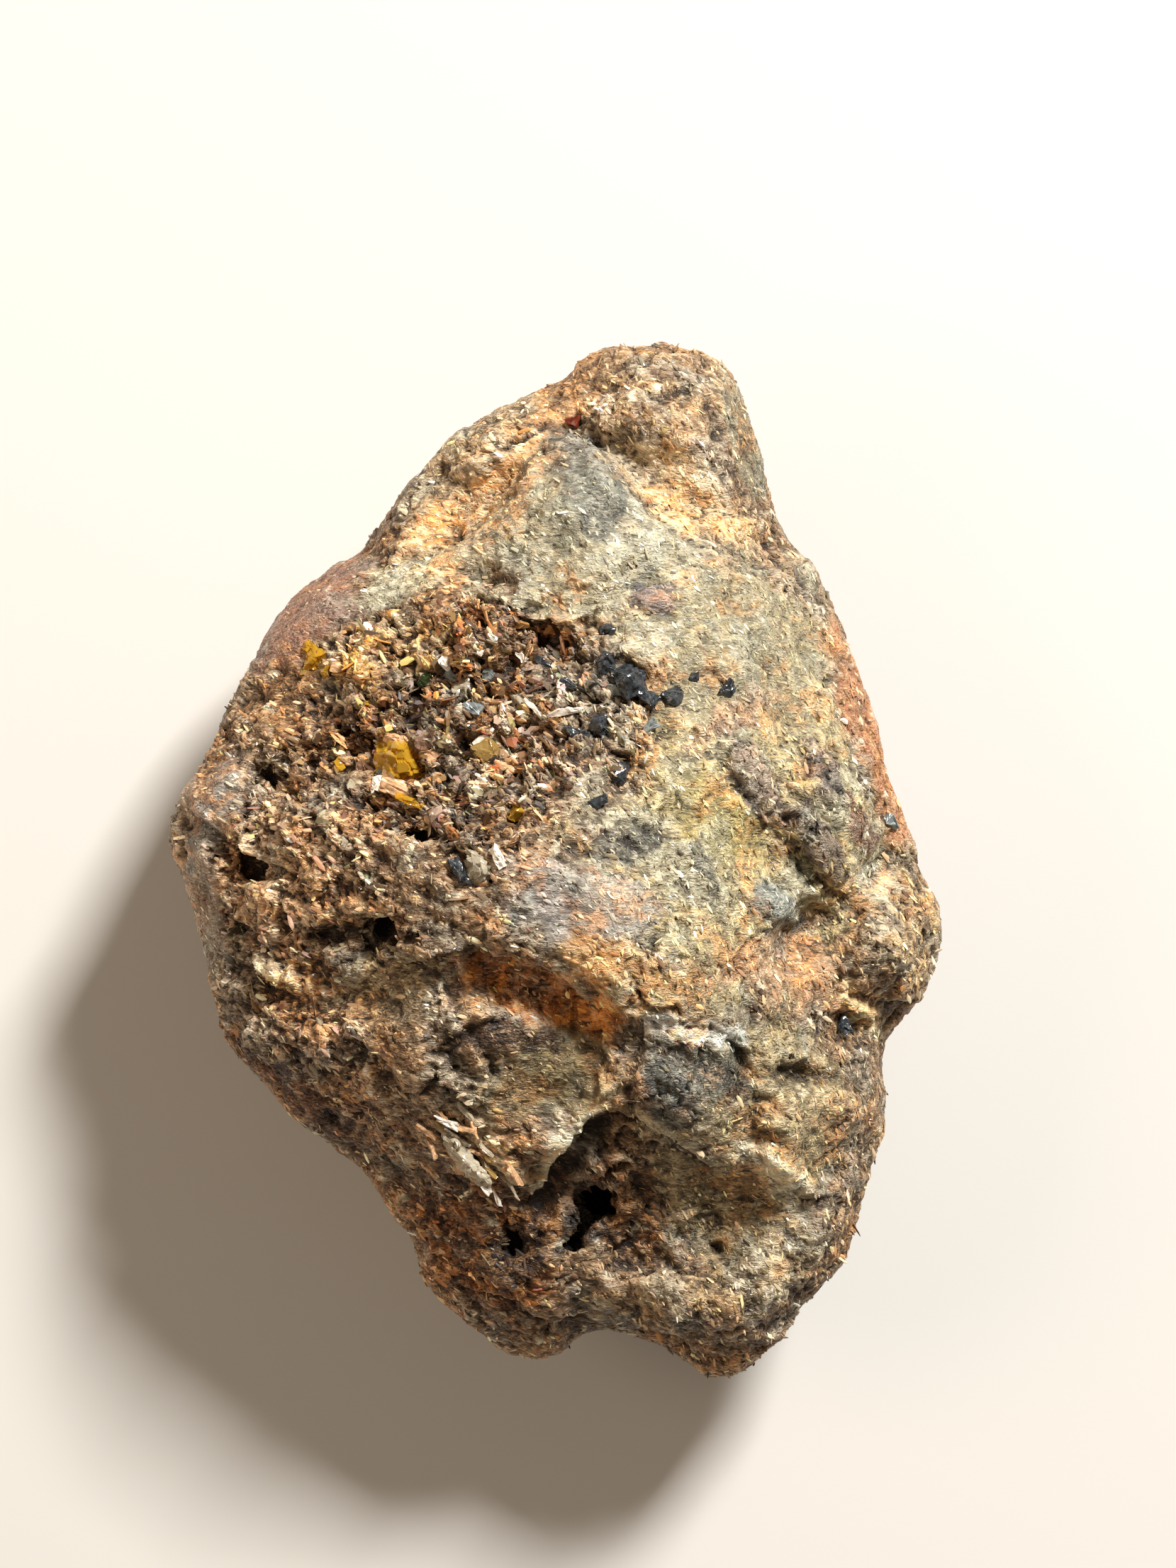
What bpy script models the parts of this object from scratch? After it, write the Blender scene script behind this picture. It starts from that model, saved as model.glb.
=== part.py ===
"""A rough pallasite meteorite nugget, 50 mm long, lying on its flattest side.

The nugget is one weathered lump of iron-nickel and rust, with olivine crystals that show where its crust is broken.
The lump is one object, and each crystal that stands clear of it is one object, seated in its own socket.

The object is described in millimetres, as seen from above: X to the right, Y away from the viewer, Z up.
Blender gets metres. The origin is on the surface that the nugget lies on, under the middle of its outline.
"""

import math
from collections import namedtuple

import bmesh
import bpy
from mathutils import Matrix, Vector, noise

# The length that the nugget is built to, in millimetres; everything below is drawn at DRAWN_LENGTH and scaled
LENGTH = 50.0
DRAWN_LENGTH = 49.65
SCALE = 0.001 * LENGTH / DRAWN_LENGTH

# Driving dimensions, in millimetres as drawn
RIM_HEIGHT = 8.8
RIM_SWELL = 1.5
SOCKET_GAP = 0.42

# The underside is worn flat this far above its lowest drawn point
SEAT_CUT = 0.35

# Mesh resolution: the rock's surface is laid out in even cells of this size, then thinned to this share of its faces
SPHERE_LEVEL = 6
CELL = 0.42
THIN_SHARE = 0.12
PIT_LEVEL = 2

# The outline from above, anticlockwise from the top of the upper knob
OUTLINE = [
    (4.6, 25.0), (3.6, 24.7), (2.7, 24.8), (1.4, 24.1), (0.7, 23.4), (-0.1, 22.8), (-1.4, 22.3), (-2.6, 21.8),
    (-4.1, 21.1), (-5.7, 19.6), (-6.7, 18.8), (-7.6, 17.7), (-8.9, 15.6), (-9.5, 14.8), (-10.5, 14.4),
    (-12.4, 13.1), (-13.1, 12.4), (-13.8, 11.3), (-14.7, 8.7), (-15.3, 7.8), (-16.3, 5.8), (-16.6, 4.8),
    (-17.6, 3.9), (-18.0, 3.4), (-18.4, 1.6), (-18.3, 0.6), (-17.6, -1.2), (-17.0, -3.7), (-16.4, -5.9),
    (-16.1, -7.3), (-15.6, -8.6), (-14.9, -9.5), (-12.9, -11.8), (-12.2, -12.5), (-10.1, -13.8), (-8.9, -15.0),
    (-7.9, -16.9), (-7.1, -17.6), (-6.1, -20.2), (-5.5, -21.0), (-3.3, -22.6), (-2.8, -23.4), (-1.9, -23.7),
    (-0.4, -23.9), (0.4, -23.6), (0.6, -22.9), (1.3, -22.6), (2.3, -22.5), (3.6, -22.7), (5.5, -23.4),
    (6.1, -23.9), (6.6, -24.6), (7.3, -25.0), (8.4, -24.9), (9.1, -24.6), (9.7, -23.7), (10.8, -23.1),
    (12.0, -20.9), (13.5, -19.7), (14.2, -18.6), (14.9, -15.3), (15.0, -14.2), (15.5, -13.7), (15.7, -11.5),
    (15.6, -9.8), (15.9, -8.3), (16.9, -6.9), (17.7, -6.1), (18.3, -4.9), (18.4, -2.4), (18.3, -1.6),
    (17.1, -0.4), (17.0, 0.9), (16.2, 3.3), (15.6, 4.4), (15.5, 5.6), (14.7, 8.4), (13.9, 10.5), (13.0, 12.6),
    (12.4, 14.2), (11.8, 14.9), (11.1, 15.4), (10.3, 16.6), (9.8, 19.2), (9.0, 22.1), (8.2, 23.5), (7.5, 24.1),
    (6.7, 24.4), (5.9, 24.3), (5.2, 24.8),
]

# The outline is read in this many directions, and away from the widest level its corners are worn over this reach
OUTLINE_STEPS = 1440
WEAR_STEPS = 44

# A sloping face of the top: the height at the origin, and the rise for each millimetre of X and of Y
Slope = namedtuple("Slope", "name height rise_x rise_y")
SLOPES = [
    Slope("upper_plateau", 20.6, -0.10, -0.27),
    Slope("right_shoulder", 24.0, -0.62, 0.02),
    Slope("lower_slope", 23.6, 0.03, 0.50),
    Slope("left_slope", 25.2, 0.70, -0.05),
    Slope("upper_left_slope", 24.2, 0.48, -0.42),
    Slope("lower_left_slope", 26.8, 0.55, 0.50),
]
SLOPE_BLEND = 1.1

# A sloping face of the underside, in the same terms; where all of them are below zero the rock is worn flat
UNDER_SLOPES = [
    Slope("under_left", -4.2, -0.62, 0.10),
    Slope("under_right", -4.6, 0.66, 0.12),
    Slope("under_top", -6.4, -0.06, 0.55),
    Slope("under_bottom", -5.6, 0.10, -0.52),
    Slope("under_lower_right", -7.4, 0.50, -0.42),
    Slope("under_upper_left", -7.0, -0.42, 0.44),
]
UNDER_BLEND = 0.6

# A rounded lump on the top: its middle, half length, half width, turn in degrees and height
Lump = namedtuple("Lump", "name x y half_long half_wide turn height")
LUMPS = [
    Lump("upper_knob", 5.9, 21.9, 4.2, 3.2, -55, 3.9),
    Lump("nose", 0.8, 17.6, 4.4, 2.0, -74, 1.3),
    Lump("plateau_rise", 5.6, 11.2, 5.6, 3.2, -40, 0.8),
    Lump("upper_left_lobe", -3.9, 19.6, 3.4, 1.7, 35, 1.5),
    Lump("left_lobe", -7.3, 16.6, 2.6, 1.6, 50, 1.0),
    Lump("left_corner", -16.6, 1.8, 2.6, 2.2, 60, 1.6),
    Lump("right_knob", 16.3, -3.4, 3.0, 2.4, 70, 3.4),
    Lump("right_scab_upper", 9.0, 4.2, 2.4, 1.1, -60, 0.6),
    Lump("right_scab_middle", 12.4, 3.6, 3.2, 1.3, -62, 0.7),
    Lump("right_scab_lower", 12.6, 0.6, 2.2, 1.0, -55, 0.6),
    Lump("blue_bump", 10.1, -1.8, 1.2, 0.9, -50, 0.6),
    Lump("splinter_bank", -4.3, -14.0, 2.8, 0.9, -50, 0.9),
    Lump("lower_lip", 5.2, -21.0, 5.4, 1.5, 4, 1.5),
    Lump("lower_right_lip", 10.9, -19.0, 3.2, 1.5, 38, 1.6),
    Lump("lower_left_foot", -2.2, -21.6, 2.8, 1.6, -20, 1.0),
    Lump("lower_right_bank", 11.8, -12.0, 3.6, 2.4, 80, 0.9),
]

# A bowl in the top: its middle, half length, half width, turn in degrees and depth
Hollow = namedtuple("Hollow", "name x y half_long half_wide turn depth")
HOLLOWS = [
    Hollow("knob_valley", 5.9, 18.0, 4.6, 1.5, -36, 1.0),
    Hollow("left_valley", -4.4, 17.2, 3.8, 1.1, 42, 0.7),
    Hollow("valley_end", 1.6, 20.9, 1.5, 0.9, -20, 1.1),
    Hollow("crystal_cavity", -4.6, 6.6, 6.6, 4.2, 10, 1.7),
    Hollow("cavity_head", -0.6, 10.6, 3.4, 1.9, -12, 1.3),
    Hollow("cavity_left", -12.4, 4.2, 2.6, 1.3, 25, 0.9),
    Hollow("rust_hollow", -0.6, -6.4, 4.9, 2.0, -22, 1.2),
    Hollow("green_bowl", 0.2, -10.2, 3.6, 2.7, 20, 1.1),
    Hollow("left_bowl", -8.4, -5.6, 2.8, 2.0, -70, 0.9),
    Hollow("lower_basin", 4.4, -17.0, 6.2, 2.9, -12, 1.6),
    Hollow("lower_left_dip", -2.6, -18.2, 2.8, 1.9, 30, 0.9),
    Hollow("right_groove", 12.9, -2.6, 4.4, 1.2, 40, 1.3),
    Hollow("under_right_knob", 14.8, -7.0, 2.6, 1.3, 55, 1.2),
    Hollow("right_dip", 9.4, 1.0, 2.6, 1.2, -40, 0.5),
]

# A ledge: a line that the top drops from, on the right-hand side of the way it runs, and rises back over its reach
Ledge = namedtuple("Ledge", "name points drop reach")
LEDGES = [
    Ledge(
        "nose_edge",
        [(8.6, 14.0), (7.0, 14.8), (5.3, 16.0), (3.9, 17.3), (2.8, 19.2), (1.8, 20.2), (0.4, 20.4), (-0.8, 19.5),
         (-1.9, 17.7), (-3.6, 16.0), (-5.3, 14.4)],
        1.7,
        1.7,
    ),
    Ledge("plateau_edge", [(-3.4, 13.6), (-1.5, 12.8), (0.5, 12.5), (2.6, 13.4)], 1.7, 2.8),
    Ledge("cavity_wall", [(-6.4, 9.9), (-4.2, 9.2), (-2.2, 9.9)], 0.7, 1.8),
    Ledge("central_ridge_left", [(-5.6, -4.4), (-3.9, -3.9), (-0.8, -4.7), (0.6, -5.3)], 1.2, 2.2),
    Ledge("central_ridge_right", [(0.6, -5.3), (1.9, -6.4), (3.6, -7.2), (5.3, -7.4), (7.3, -7.6), (8.9, -8.4)], 1.0, 2.0),
    Ledge("green_bowl_lip", [(-0.4, -14.2), (0.9, -12.8), (1.9, -11.9), (3.6, -11.6)], 1.3, 1.9),
    Ledge("lower_ledge", [(2.9, -12.3), (4.6, -12.6), (6.0, -13.4), (7.2, -14.3), (8.6, -14.8)], 1.2, 2.2),
    Ledge("flake_edge", [(13.0, 12.3), (11.2, 13.8), (10.0, 14.9)], 0.35, 1.0),
]
LEDGE_WIDTH = 0.9

# A narrow hole in the top: its middle, half length, half width, turn in degrees and depth
Pit = namedtuple("Pit", "name x y half_long half_wide turn depth")
PITS = [
    Pit("black_hole", 2.0, -16.2, 1.25, 0.8, 40, 2.8),
    Pit("black_hole_tail", 1.1, -17.5, 0.95, 0.45, 60, 1.6),
    Pit("lower_pit", -2.0, -17.9, 0.85, 0.55, 60, 1.3),
    Pit("left_slot", -14.6, -0.3, 1.3, 0.5, -18, 1.1),
    Pit("left_pit", -13.5, 4.0, 0.85, 0.55, 20, 1.1),
    Pit("bowl_pit", -8.3, -3.5, 1.0, 0.6, 0, 1.3),
    Pit("crystal_pit", -6.5, 1.4, 0.7, 0.5, 0, 1.1),
    Pit("valley_pit", 1.3, 20.5, 0.5, 0.42, 40, 0.9),
]

# An olivine crystal: its middle, size along and across, turn in degrees, height, how far it stands proud, and colour
Crystal = namedtuple("Crystal", "name x y long wide turn tall proud colour seed")
AMBER = (0.62, 0.38, 0.07)
HONEY = (0.66, 0.52, 0.28)
CLEAR = (0.72, 0.70, 0.62)
BLACK = (0.02, 0.025, 0.03)
CRYSTALS = [
    Crystal("olivine_amber_large", -7.4, 4.8, 3.0, 2.3, 20, 2.0, 0.75, AMBER, 3),
    Crystal("olivine_amber_small", -1.9, 2.4, 1.2, 1.0, 60, 1.2, 0.35, AMBER, 5),
    Crystal("olivine_amber_left", -11.5, 9.8, 1.6, 1.1, 70, 1.2, 0.30, AMBER, 8),
    Crystal("olivine_honey", -3.1, 5.3, 1.8, 1.3, -40, 1.4, 0.50, HONEY, 11),
    Crystal("olivine_clear_large", -3.6, -0.3, 2.2, 1.6, -55, 1.6, 0.65, CLEAR, 14),
    Crystal("olivine_clear_upper", -4.2, 8.4, 1.9, 1.3, 25, 1.3, 0.50, CLEAR, 17),
    Crystal("olivine_clear_middle", -1.8, 7.6, 1.7, 1.2, -15, 1.3, 0.50, CLEAR, 20),
    Crystal("olivine_splinter", -4.2, -14.0, 3.6, 0.9, -50, 1.1, 0.45, CLEAR, 23),
    Crystal("olivine_black_upper", 2.2, 11.0, 1.4, 0.8, 10, 1.1, 0.40, BLACK, 26),
    Crystal("olivine_black_large", 3.3, 8.7, 2.4, 1.7, -30, 1.7, 0.60, BLACK, 29),
    Crystal("olivine_black_right", 5.5, 7.9, 1.5, 1.0, 20, 1.2, 0.40, BLACK, 32),
    Crystal("olivine_black_left", 2.2, 6.5, 1.3, 1.1, -60, 1.2, 0.35, BLACK, 35),
    Crystal("olivine_black_lower", 2.9, 4.1, 1.6, 1.2, 30, 1.2, 0.30, BLACK, 38),
]
CRYSTAL_JITTER = 0.16

RUST_COLOUR = (0.27, 0.20, 0.13)


def clear_scene():
    """Remove every object, so that the file holds only the nugget."""
    for obj in list(bpy.data.objects):
        bpy.data.objects.remove(obj)


def new_collection(name):
    """A collection linked to the scene."""
    collection = bpy.data.collections.new(name)
    bpy.context.scene.collection.children.link(collection)
    return collection


def new_material(name, colour, roughness, metallic=0.0):
    """A Principled BSDF material."""
    material = bpy.data.materials.new(name)
    material.use_nodes = True
    shader = material.node_tree.nodes["Principled BSDF"]
    shader.inputs["Base Color"].default_value = (*colour, 1.0)
    shader.inputs["Roughness"].default_value = roughness
    shader.inputs["Metallic"].default_value = metallic
    return material


def new_object(name, mesh_data, collection, material=None):
    """A mesh object made from a bmesh, which is freed."""
    mesh = bpy.data.meshes.new(name)
    mesh_data.to_mesh(mesh)
    mesh_data.free()
    if material is not None:
        mesh.materials.append(material)
    obj = bpy.data.objects.new(name, mesh)
    collection.objects.link(obj)
    return obj


def smoothstep(low, high, value):
    """0 below low, 1 above high, and a smooth rise between."""
    share = min(1.0, max(0.0, (value - low) / (high - low)))
    return share * share * (3 - 2 * share)


def outline_radius(angle):
    """Distance from the origin to the outline, in the direction of angle."""
    way = Vector((math.cos(angle), math.sin(angle)))
    best = 0.0
    for start, end in zip(OUTLINE, OUTLINE[1:] + OUTLINE[:1]):
        side = Vector(end) - Vector(start)
        cross = way.x * side.y - way.y * side.x
        if abs(cross) < 1e-9:
            continue
        along = (start[0] * side.y - start[1] * side.x) / cross
        share = (start[0] * way.y - start[1] * way.x) / cross
        if along > 0 and -1e-6 <= share <= 1 + 1e-6:
            best = max(best, along)
    return best


def outline_tables():
    """The outline's radius in each direction, and the same with its small corners worn off."""
    sharp = [outline_radius(2 * math.pi * step / OUTLINE_STEPS) for step in range(OUTLINE_STEPS)]
    worn = []
    for step, radius in enumerate(sharp):
        nearby = [sharp[(step + shift) % OUTLINE_STEPS] for shift in range(-WEAR_STEPS, WEAR_STEPS + 1)]
        worn.append(min(radius, sum(nearby) / len(nearby)))
    return sharp, worn


def table_radius(table, angle):
    """The radius in a table, in the direction of angle."""
    place = (angle / (2 * math.pi)) % 1.0 * OUTLINE_STEPS
    step = int(place)
    share = place - step
    return (1 - share) * table[step % OUTLINE_STEPS] + share * table[(step + 1) % OUTLINE_STEPS]


def local_radius(shape, x, y):
    """0 at the middle of an elliptical shape and 1 at its edge."""
    turn = math.radians(shape.turn)
    dx, dy = x - shape.x, y - shape.y
    along = (dx * math.cos(turn) + dy * math.sin(turn)) / shape.half_long
    across = (-dx * math.sin(turn) + dy * math.cos(turn)) / shape.half_wide
    return math.hypot(along, across)


def slopes_height(x, y):
    """The sloping faces, blended where they meet."""
    heights = [s.height + s.rise_x * x + s.rise_y * y for s in SLOPES]
    return -SLOPE_BLEND * math.log(sum(math.exp(-h / SLOPE_BLEND) for h in heights))


def lump_rise(lump, x, y):
    """How much a lump adds."""
    return lump.height * (1 - smoothstep(0.15, 1.35, local_radius(lump, x, y)))


def hollow_drop(hollow, x, y):
    """How much a hollow takes away."""
    radius = local_radius(hollow, x, y)
    return hollow.depth * (1 - smoothstep(0.25, 1.25, radius)) if radius < 1.25 else 0.0


def ledge_drop(ledge, x, y):
    """How much a ledge takes away: a sharp step on its low side that rises back over its reach."""
    point = Vector((x, y))
    nearest = None
    for start, end in zip(ledge.points, ledge.points[1:]):
        start, end = Vector(start), Vector(end)
        side = end - start
        share = min(1.0, max(0.0, (point - start).dot(side) / side.length_squared))
        gap = point - (start + share * side)
        if nearest is None or gap.length < nearest[0]:
            low_side = side.x * gap.y - side.y * gap.x < 0
            nearest = (gap.length, gap.length if low_side else -gap.length)
    distance, signed = nearest
    if distance > ledge.reach * 2.5:
        return 0.0
    step = smoothstep(-LEDGE_WIDTH * 0.4, LEDGE_WIDTH, signed)
    return ledge.drop * step * math.exp(-((distance / ledge.reach) ** 2))


def ruggedness(x, y, z):
    """The lumpy grain of the whole rock, a few tenths of a millimetre high."""
    point = Vector((x, y, z))
    coarse = noise.fractal(point / 6.5, 0.9, 2.1, 3, noise_basis="PERLIN_ORIGINAL")
    cells = noise.voronoi(point / 3.2)[0]
    return 0.85 * coarse + 0.55 * (cells[1] - cells[0]) - 0.22


def top_height(x, y):
    """Height of the top above the surface that the nugget lies on."""
    height = slopes_height(x, y)
    height += sum(lump_rise(lump, x, y) for lump in LUMPS)
    height -= sum(hollow_drop(hollow, x, y) for hollow in HOLLOWS)
    height -= sum(ledge_drop(ledge, x, y) for ledge in LEDGES)
    return height + 0.45 * ruggedness(x, y, 30.0)


def under_height(x, y):
    """Height of the underside, from just below the surface that the rock lies on."""
    heights = [s.height + s.rise_x * x + s.rise_y * y for s in UNDER_SLOPES]
    height = UNDER_BLEND * math.log(sum(math.exp(h / UNDER_BLEND) for h in heights))
    return max(0.0, height + 0.5 * ruggedness(x, y, -30.0)) - SEAT_CUT


def rim_height(angle):
    """Height of the widest level of the rock, which swells and dips round the outline."""
    return RIM_HEIGHT + RIM_SWELL * math.sin(2 * angle + 0.8) + 0.6 * math.sin(5 * angle)


def shaped_point(way):
    """The point of the rock's surface that a point of the unit sphere becomes."""
    angle = math.atan2(way.y, way.x)
    share = min(1.0, math.hypot(way.x, way.y))
    sharp = table_radius(SHARP_RADII, angle)
    worn = table_radius(WORN_RADII, angle)
    reach = share * (worn + (sharp - worn) * smoothstep(0.82, 1.0, share))
    x, y = reach * math.cos(angle), reach * math.sin(angle)
    rim = rim_height(angle)
    if way.z >= 0:
        dome = (1 - share**3.4) ** (1 / 2.1)
        return Vector((x, y, rim + (top_height(x, y) - rim) * dome))
    dome = (1 - share**5) ** (1 / 2.1)
    return Vector((x, y, rim + (under_height(x, y) - rim) * dome))


def roughen_flank(vert, normal):
    """Push a point of the flank in or out, but not the widest level or the seat."""
    x, y, z = vert.co
    inward = 1 - math.hypot(x, y) / table_radius(SHARP_RADII, math.atan2(y, x))
    weight = smoothstep(0.01, 0.10, inward) * smoothstep(0.3, 2.0, z) * (1 - smoothstep(0.35, 0.6, inward))
    vert.co += normal * (1.1 * weight * ruggedness(x, y, z))


def surface_place(x, y):
    """The point on the top over (x, y)."""
    angle = math.atan2(y, x)
    share = min(1.0, math.hypot(x, y) / table_radius(SHARP_RADII, angle))
    return shaped_point(Vector((share * math.cos(angle), share * math.sin(angle), math.sqrt(1 - share * share))))


def crystal_mesh(crystal, grow=0.0):
    """A closed crystal with flat faces, in millimetres: the hull of a few seeded corners, grown by grow."""
    mesh = bmesh.new()
    bmesh.ops.create_icosphere(mesh, subdivisions=1, radius=0.5)
    noise.seed_set(crystal.seed)
    for vert in mesh.verts:
        vert.co += CRYSTAL_JITTER * noise.random_unit_vector()
    bmesh.ops.scale(mesh, vec=(crystal.long, crystal.wide, crystal.tall), verts=mesh.verts)
    bmesh.ops.delete(mesh, geom=mesh.edges[:] + mesh.faces[:], context="EDGES_FACES")
    bmesh.ops.convex_hull(mesh, input=mesh.verts)
    bmesh.ops.delete(mesh, geom=[v for v in mesh.verts if not v.link_faces], context="VERTS")
    bmesh.ops.recalc_face_normals(mesh, faces=mesh.faces)
    mesh.normal_update()
    for vert, normal in [(v, v.normal.copy()) for v in mesh.verts]:
        vert.co += normal * grow
    place = surface_place(crystal.x, crystal.y)
    sink = place.z + crystal.proud - 0.5 * crystal.tall
    turn = Matrix.Rotation(math.radians(crystal.turn), 4, "Z")
    mesh.transform(Matrix.Translation((crystal.x, crystal.y, sink)) @ turn)
    mesh.transform(Matrix.Scale(SCALE, 4))
    return mesh


def pit_mesh(pit):
    """A cutter for a narrow hole."""
    mesh = bmesh.new()
    bmesh.ops.create_icosphere(mesh, subdivisions=PIT_LEVEL, radius=1.0)
    bmesh.ops.scale(mesh, vec=(pit.half_long, pit.half_wide, pit.depth), verts=mesh.verts)
    place = surface_place(pit.x, pit.y)
    turn = Matrix.Rotation(math.radians(pit.turn), 4, "Z")
    mesh.transform(Matrix.Translation((pit.x, pit.y, place.z + 0.1)) @ turn)
    mesh.transform(Matrix.Scale(SCALE, 4))
    return mesh


def seat_mesh():
    """A cutter for the flat that the rock lies on."""
    mesh = bmesh.new()
    bmesh.ops.create_cube(mesh, size=DRAWN_LENGTH * 1.2)
    mesh.transform(Matrix.Translation((0.0, 0.0, -DRAWN_LENGTH * 0.6)))
    mesh.transform(Matrix.Scale(SCALE, 4))
    return mesh


def make_body(collection, cutters, material):
    """The lump itself: a sphere's points moved to the rock's surface, evened out, thinned and cut."""
    mesh = bmesh.new()
    bmesh.ops.create_icosphere(mesh, subdivisions=SPHERE_LEVEL, radius=1.0)
    for vert in mesh.verts:
        vert.co = shaped_point(vert.co)
    mesh.normal_update()
    for vert, normal in [(v, v.normal.copy()) for v in mesh.verts]:
        roughen_flank(vert, normal)
    mesh.transform(Matrix.Scale(SCALE, 4))
    body = new_object("meteorite_body", mesh, collection, material)
    even = body.modifiers.new("Even out", "REMESH")
    even.mode = "VOXEL"
    even.voxel_size = CELL * SCALE
    thin = body.modifiers.new("Thin", "DECIMATE")
    thin.ratio = THIN_SHARE
    cut = body.modifiers.new("Seat, pits and sockets", "BOOLEAN")
    cut.operation = "DIFFERENCE"
    cut.operand_type = "COLLECTION"
    cut.collection = cutters
    return body


def make_cutters(cutters):
    """The seat, the pits and the crystals' sockets, as hidden cutters."""
    new_object("cut_seat", seat_mesh(), cutters)
    for pit in PITS:
        new_object("cut_" + pit.name, pit_mesh(pit), cutters)
    for crystal in CRYSTALS:
        new_object("socket_" + crystal.name, crystal_mesh(crystal, SOCKET_GAP), cutters)
    for cutter in cutters.objects:
        cutter.hide_render = True
        cutter.display_type = "WIRE"


SHARP_RADII, WORN_RADII = outline_tables()


def main():
    """Build the nugget."""
    clear_scene()
    cutters = new_collection("cutters")
    collection = new_collection("pallasite_nugget")
    make_cutters(cutters)
    make_body(collection, cutters, new_material("weathered_iron", RUST_COLOUR, 0.75, 0.2))
    for crystal in CRYSTALS:
        material = new_material(crystal.name, crystal.colour, 0.2)
        new_object(crystal.name, crystal_mesh(crystal), collection, material)


main()
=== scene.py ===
"""A rough pallasite meteorite nugget on a pale table, seen from straight above.

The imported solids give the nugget's size and main forms. This script builds the crust, grains and
crystals that show, each from its own class, and lights them like a specimen in a studio. Lengths
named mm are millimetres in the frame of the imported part: X to the right of the picture, Y up the
picture and Z towards the camera. Blender gets metres.
"""

import logging
import math
from collections.abc import Iterator, Sequence
from contextlib import contextmanager
from dataclasses import dataclass
from enum import Enum

import bpy
import numpy as np
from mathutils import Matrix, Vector
from mathutils.bvhtree import BVHTree

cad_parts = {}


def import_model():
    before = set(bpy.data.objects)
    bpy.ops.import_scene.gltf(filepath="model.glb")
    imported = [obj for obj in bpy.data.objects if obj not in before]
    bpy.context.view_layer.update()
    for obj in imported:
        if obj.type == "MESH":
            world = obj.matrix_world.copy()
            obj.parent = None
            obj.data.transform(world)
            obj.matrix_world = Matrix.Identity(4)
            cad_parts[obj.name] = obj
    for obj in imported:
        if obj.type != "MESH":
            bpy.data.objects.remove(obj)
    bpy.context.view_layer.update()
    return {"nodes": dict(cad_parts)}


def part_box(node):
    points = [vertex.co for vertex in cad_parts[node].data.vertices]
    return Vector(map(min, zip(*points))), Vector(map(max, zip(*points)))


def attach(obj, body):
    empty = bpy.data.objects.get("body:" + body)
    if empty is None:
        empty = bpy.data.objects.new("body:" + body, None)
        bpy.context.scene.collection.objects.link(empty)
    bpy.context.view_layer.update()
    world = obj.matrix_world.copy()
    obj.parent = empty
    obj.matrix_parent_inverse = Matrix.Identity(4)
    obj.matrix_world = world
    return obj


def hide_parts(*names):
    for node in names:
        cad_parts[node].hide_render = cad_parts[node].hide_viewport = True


LOG = logging.getLogger("nugget")

Line = tuple[tuple[float, float], ...]
Plane = tuple[Sequence[float], Sequence[float]]
Shape = tuple[np.ndarray, np.ndarray]
Socket = bpy.types.NodeSocket

MM = 0.001

# The way that the crust's streaks run, in degrees anticlockwise from X
STREAK_LEFT = -25.0
STREAK_RIGHT = -52.0

# How strongly olivine bends light
OLIVINE_IOR = 1.67

# Odd numbers that scatter whole-numbered places, and the 32 bits that they are kept to
MIX_X, MIX_Y, MIX_Z, MIX_SEED = 374761393, 668265263, 1440662683, 1274126177
BITS = 0xFFFFFFFF


def linear(hex_colour: str) -> tuple[float, float, float, float]:
    """Turn an sRGB hex colour to Blender's linear colour.

    Args:
        hex_colour: The colour, such as "#8f775f".

    Returns:
        Red, green, blue and alpha, each from 0 to 1.
    """
    parts = [int(hex_colour[i : i + 2], 16) / 255 for i in (1, 3, 5)]
    red, green, blue = (p / 12.92 if p <= 0.04045 else ((p + 0.055) / 1.055) ** 2.4 for p in parts)
    return red, green, blue, 1.0


def colour(hex_colour: str) -> np.ndarray:
    """The linear red, green and blue of an sRGB hex colour."""
    return np.array(linear(hex_colour)[:3])


def smoothstep(low: float, high: float, value: np.ndarray) -> np.ndarray:
    """0 below low, 1 above high, and a smooth rise between, for each value."""
    share = np.clip((value - low) / (high - low), 0.0, 1.0)
    return share * share * (3 - 2 * share)


def blend(values: np.ndarray, share: np.ndarray, target: np.ndarray | float) -> None:
    """Move each point's value or colour towards the target by the point's share, in place."""
    values += (share[:, None] if values.ndim == 2 else share) * (target - values)


def turned(points: np.ndarray, degrees: float) -> tuple[np.ndarray, np.ndarray]:
    """How far along a way each point lies, and how far to its left, seen from above.

    Args:
        points: An array of points, one to a row.
        degrees: The way, anticlockwise from X.

    Returns:
        The distances along and across.
    """
    cosine, sine = math.cos(math.radians(degrees)), math.sin(math.radians(degrees))
    x, y = points[:, 0], points[:, 1]
    return x * cosine + y * sine, -x * sine + y * cosine


def right_share(places: np.ndarray) -> np.ndarray:
    """0 on the nugget's left, 1 on its right and a smooth change between, for each place."""
    return smoothstep(-3.0, 4.0, places[:, 0])


def crumbling(rough: np.ndarray) -> np.ndarray:
    """How far the crust's skin crumbles where it is that rough, from 0 to 1."""
    return smoothstep(0.3, 0.75, rough)


def broken_up(pores: np.ndarray) -> np.ndarray:
    """How far a crust with that many holes is broken up in flakes, from 0 to 1."""
    return smoothstep(0.2, 0.8, pores)


def flake_places(places: np.ndarray) -> np.ndarray:
    """The pushed-about places on which the larger relief and the broken flakes are worked out."""
    return RockNoise(17).warped(places, 1.6, 0.7)


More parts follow.
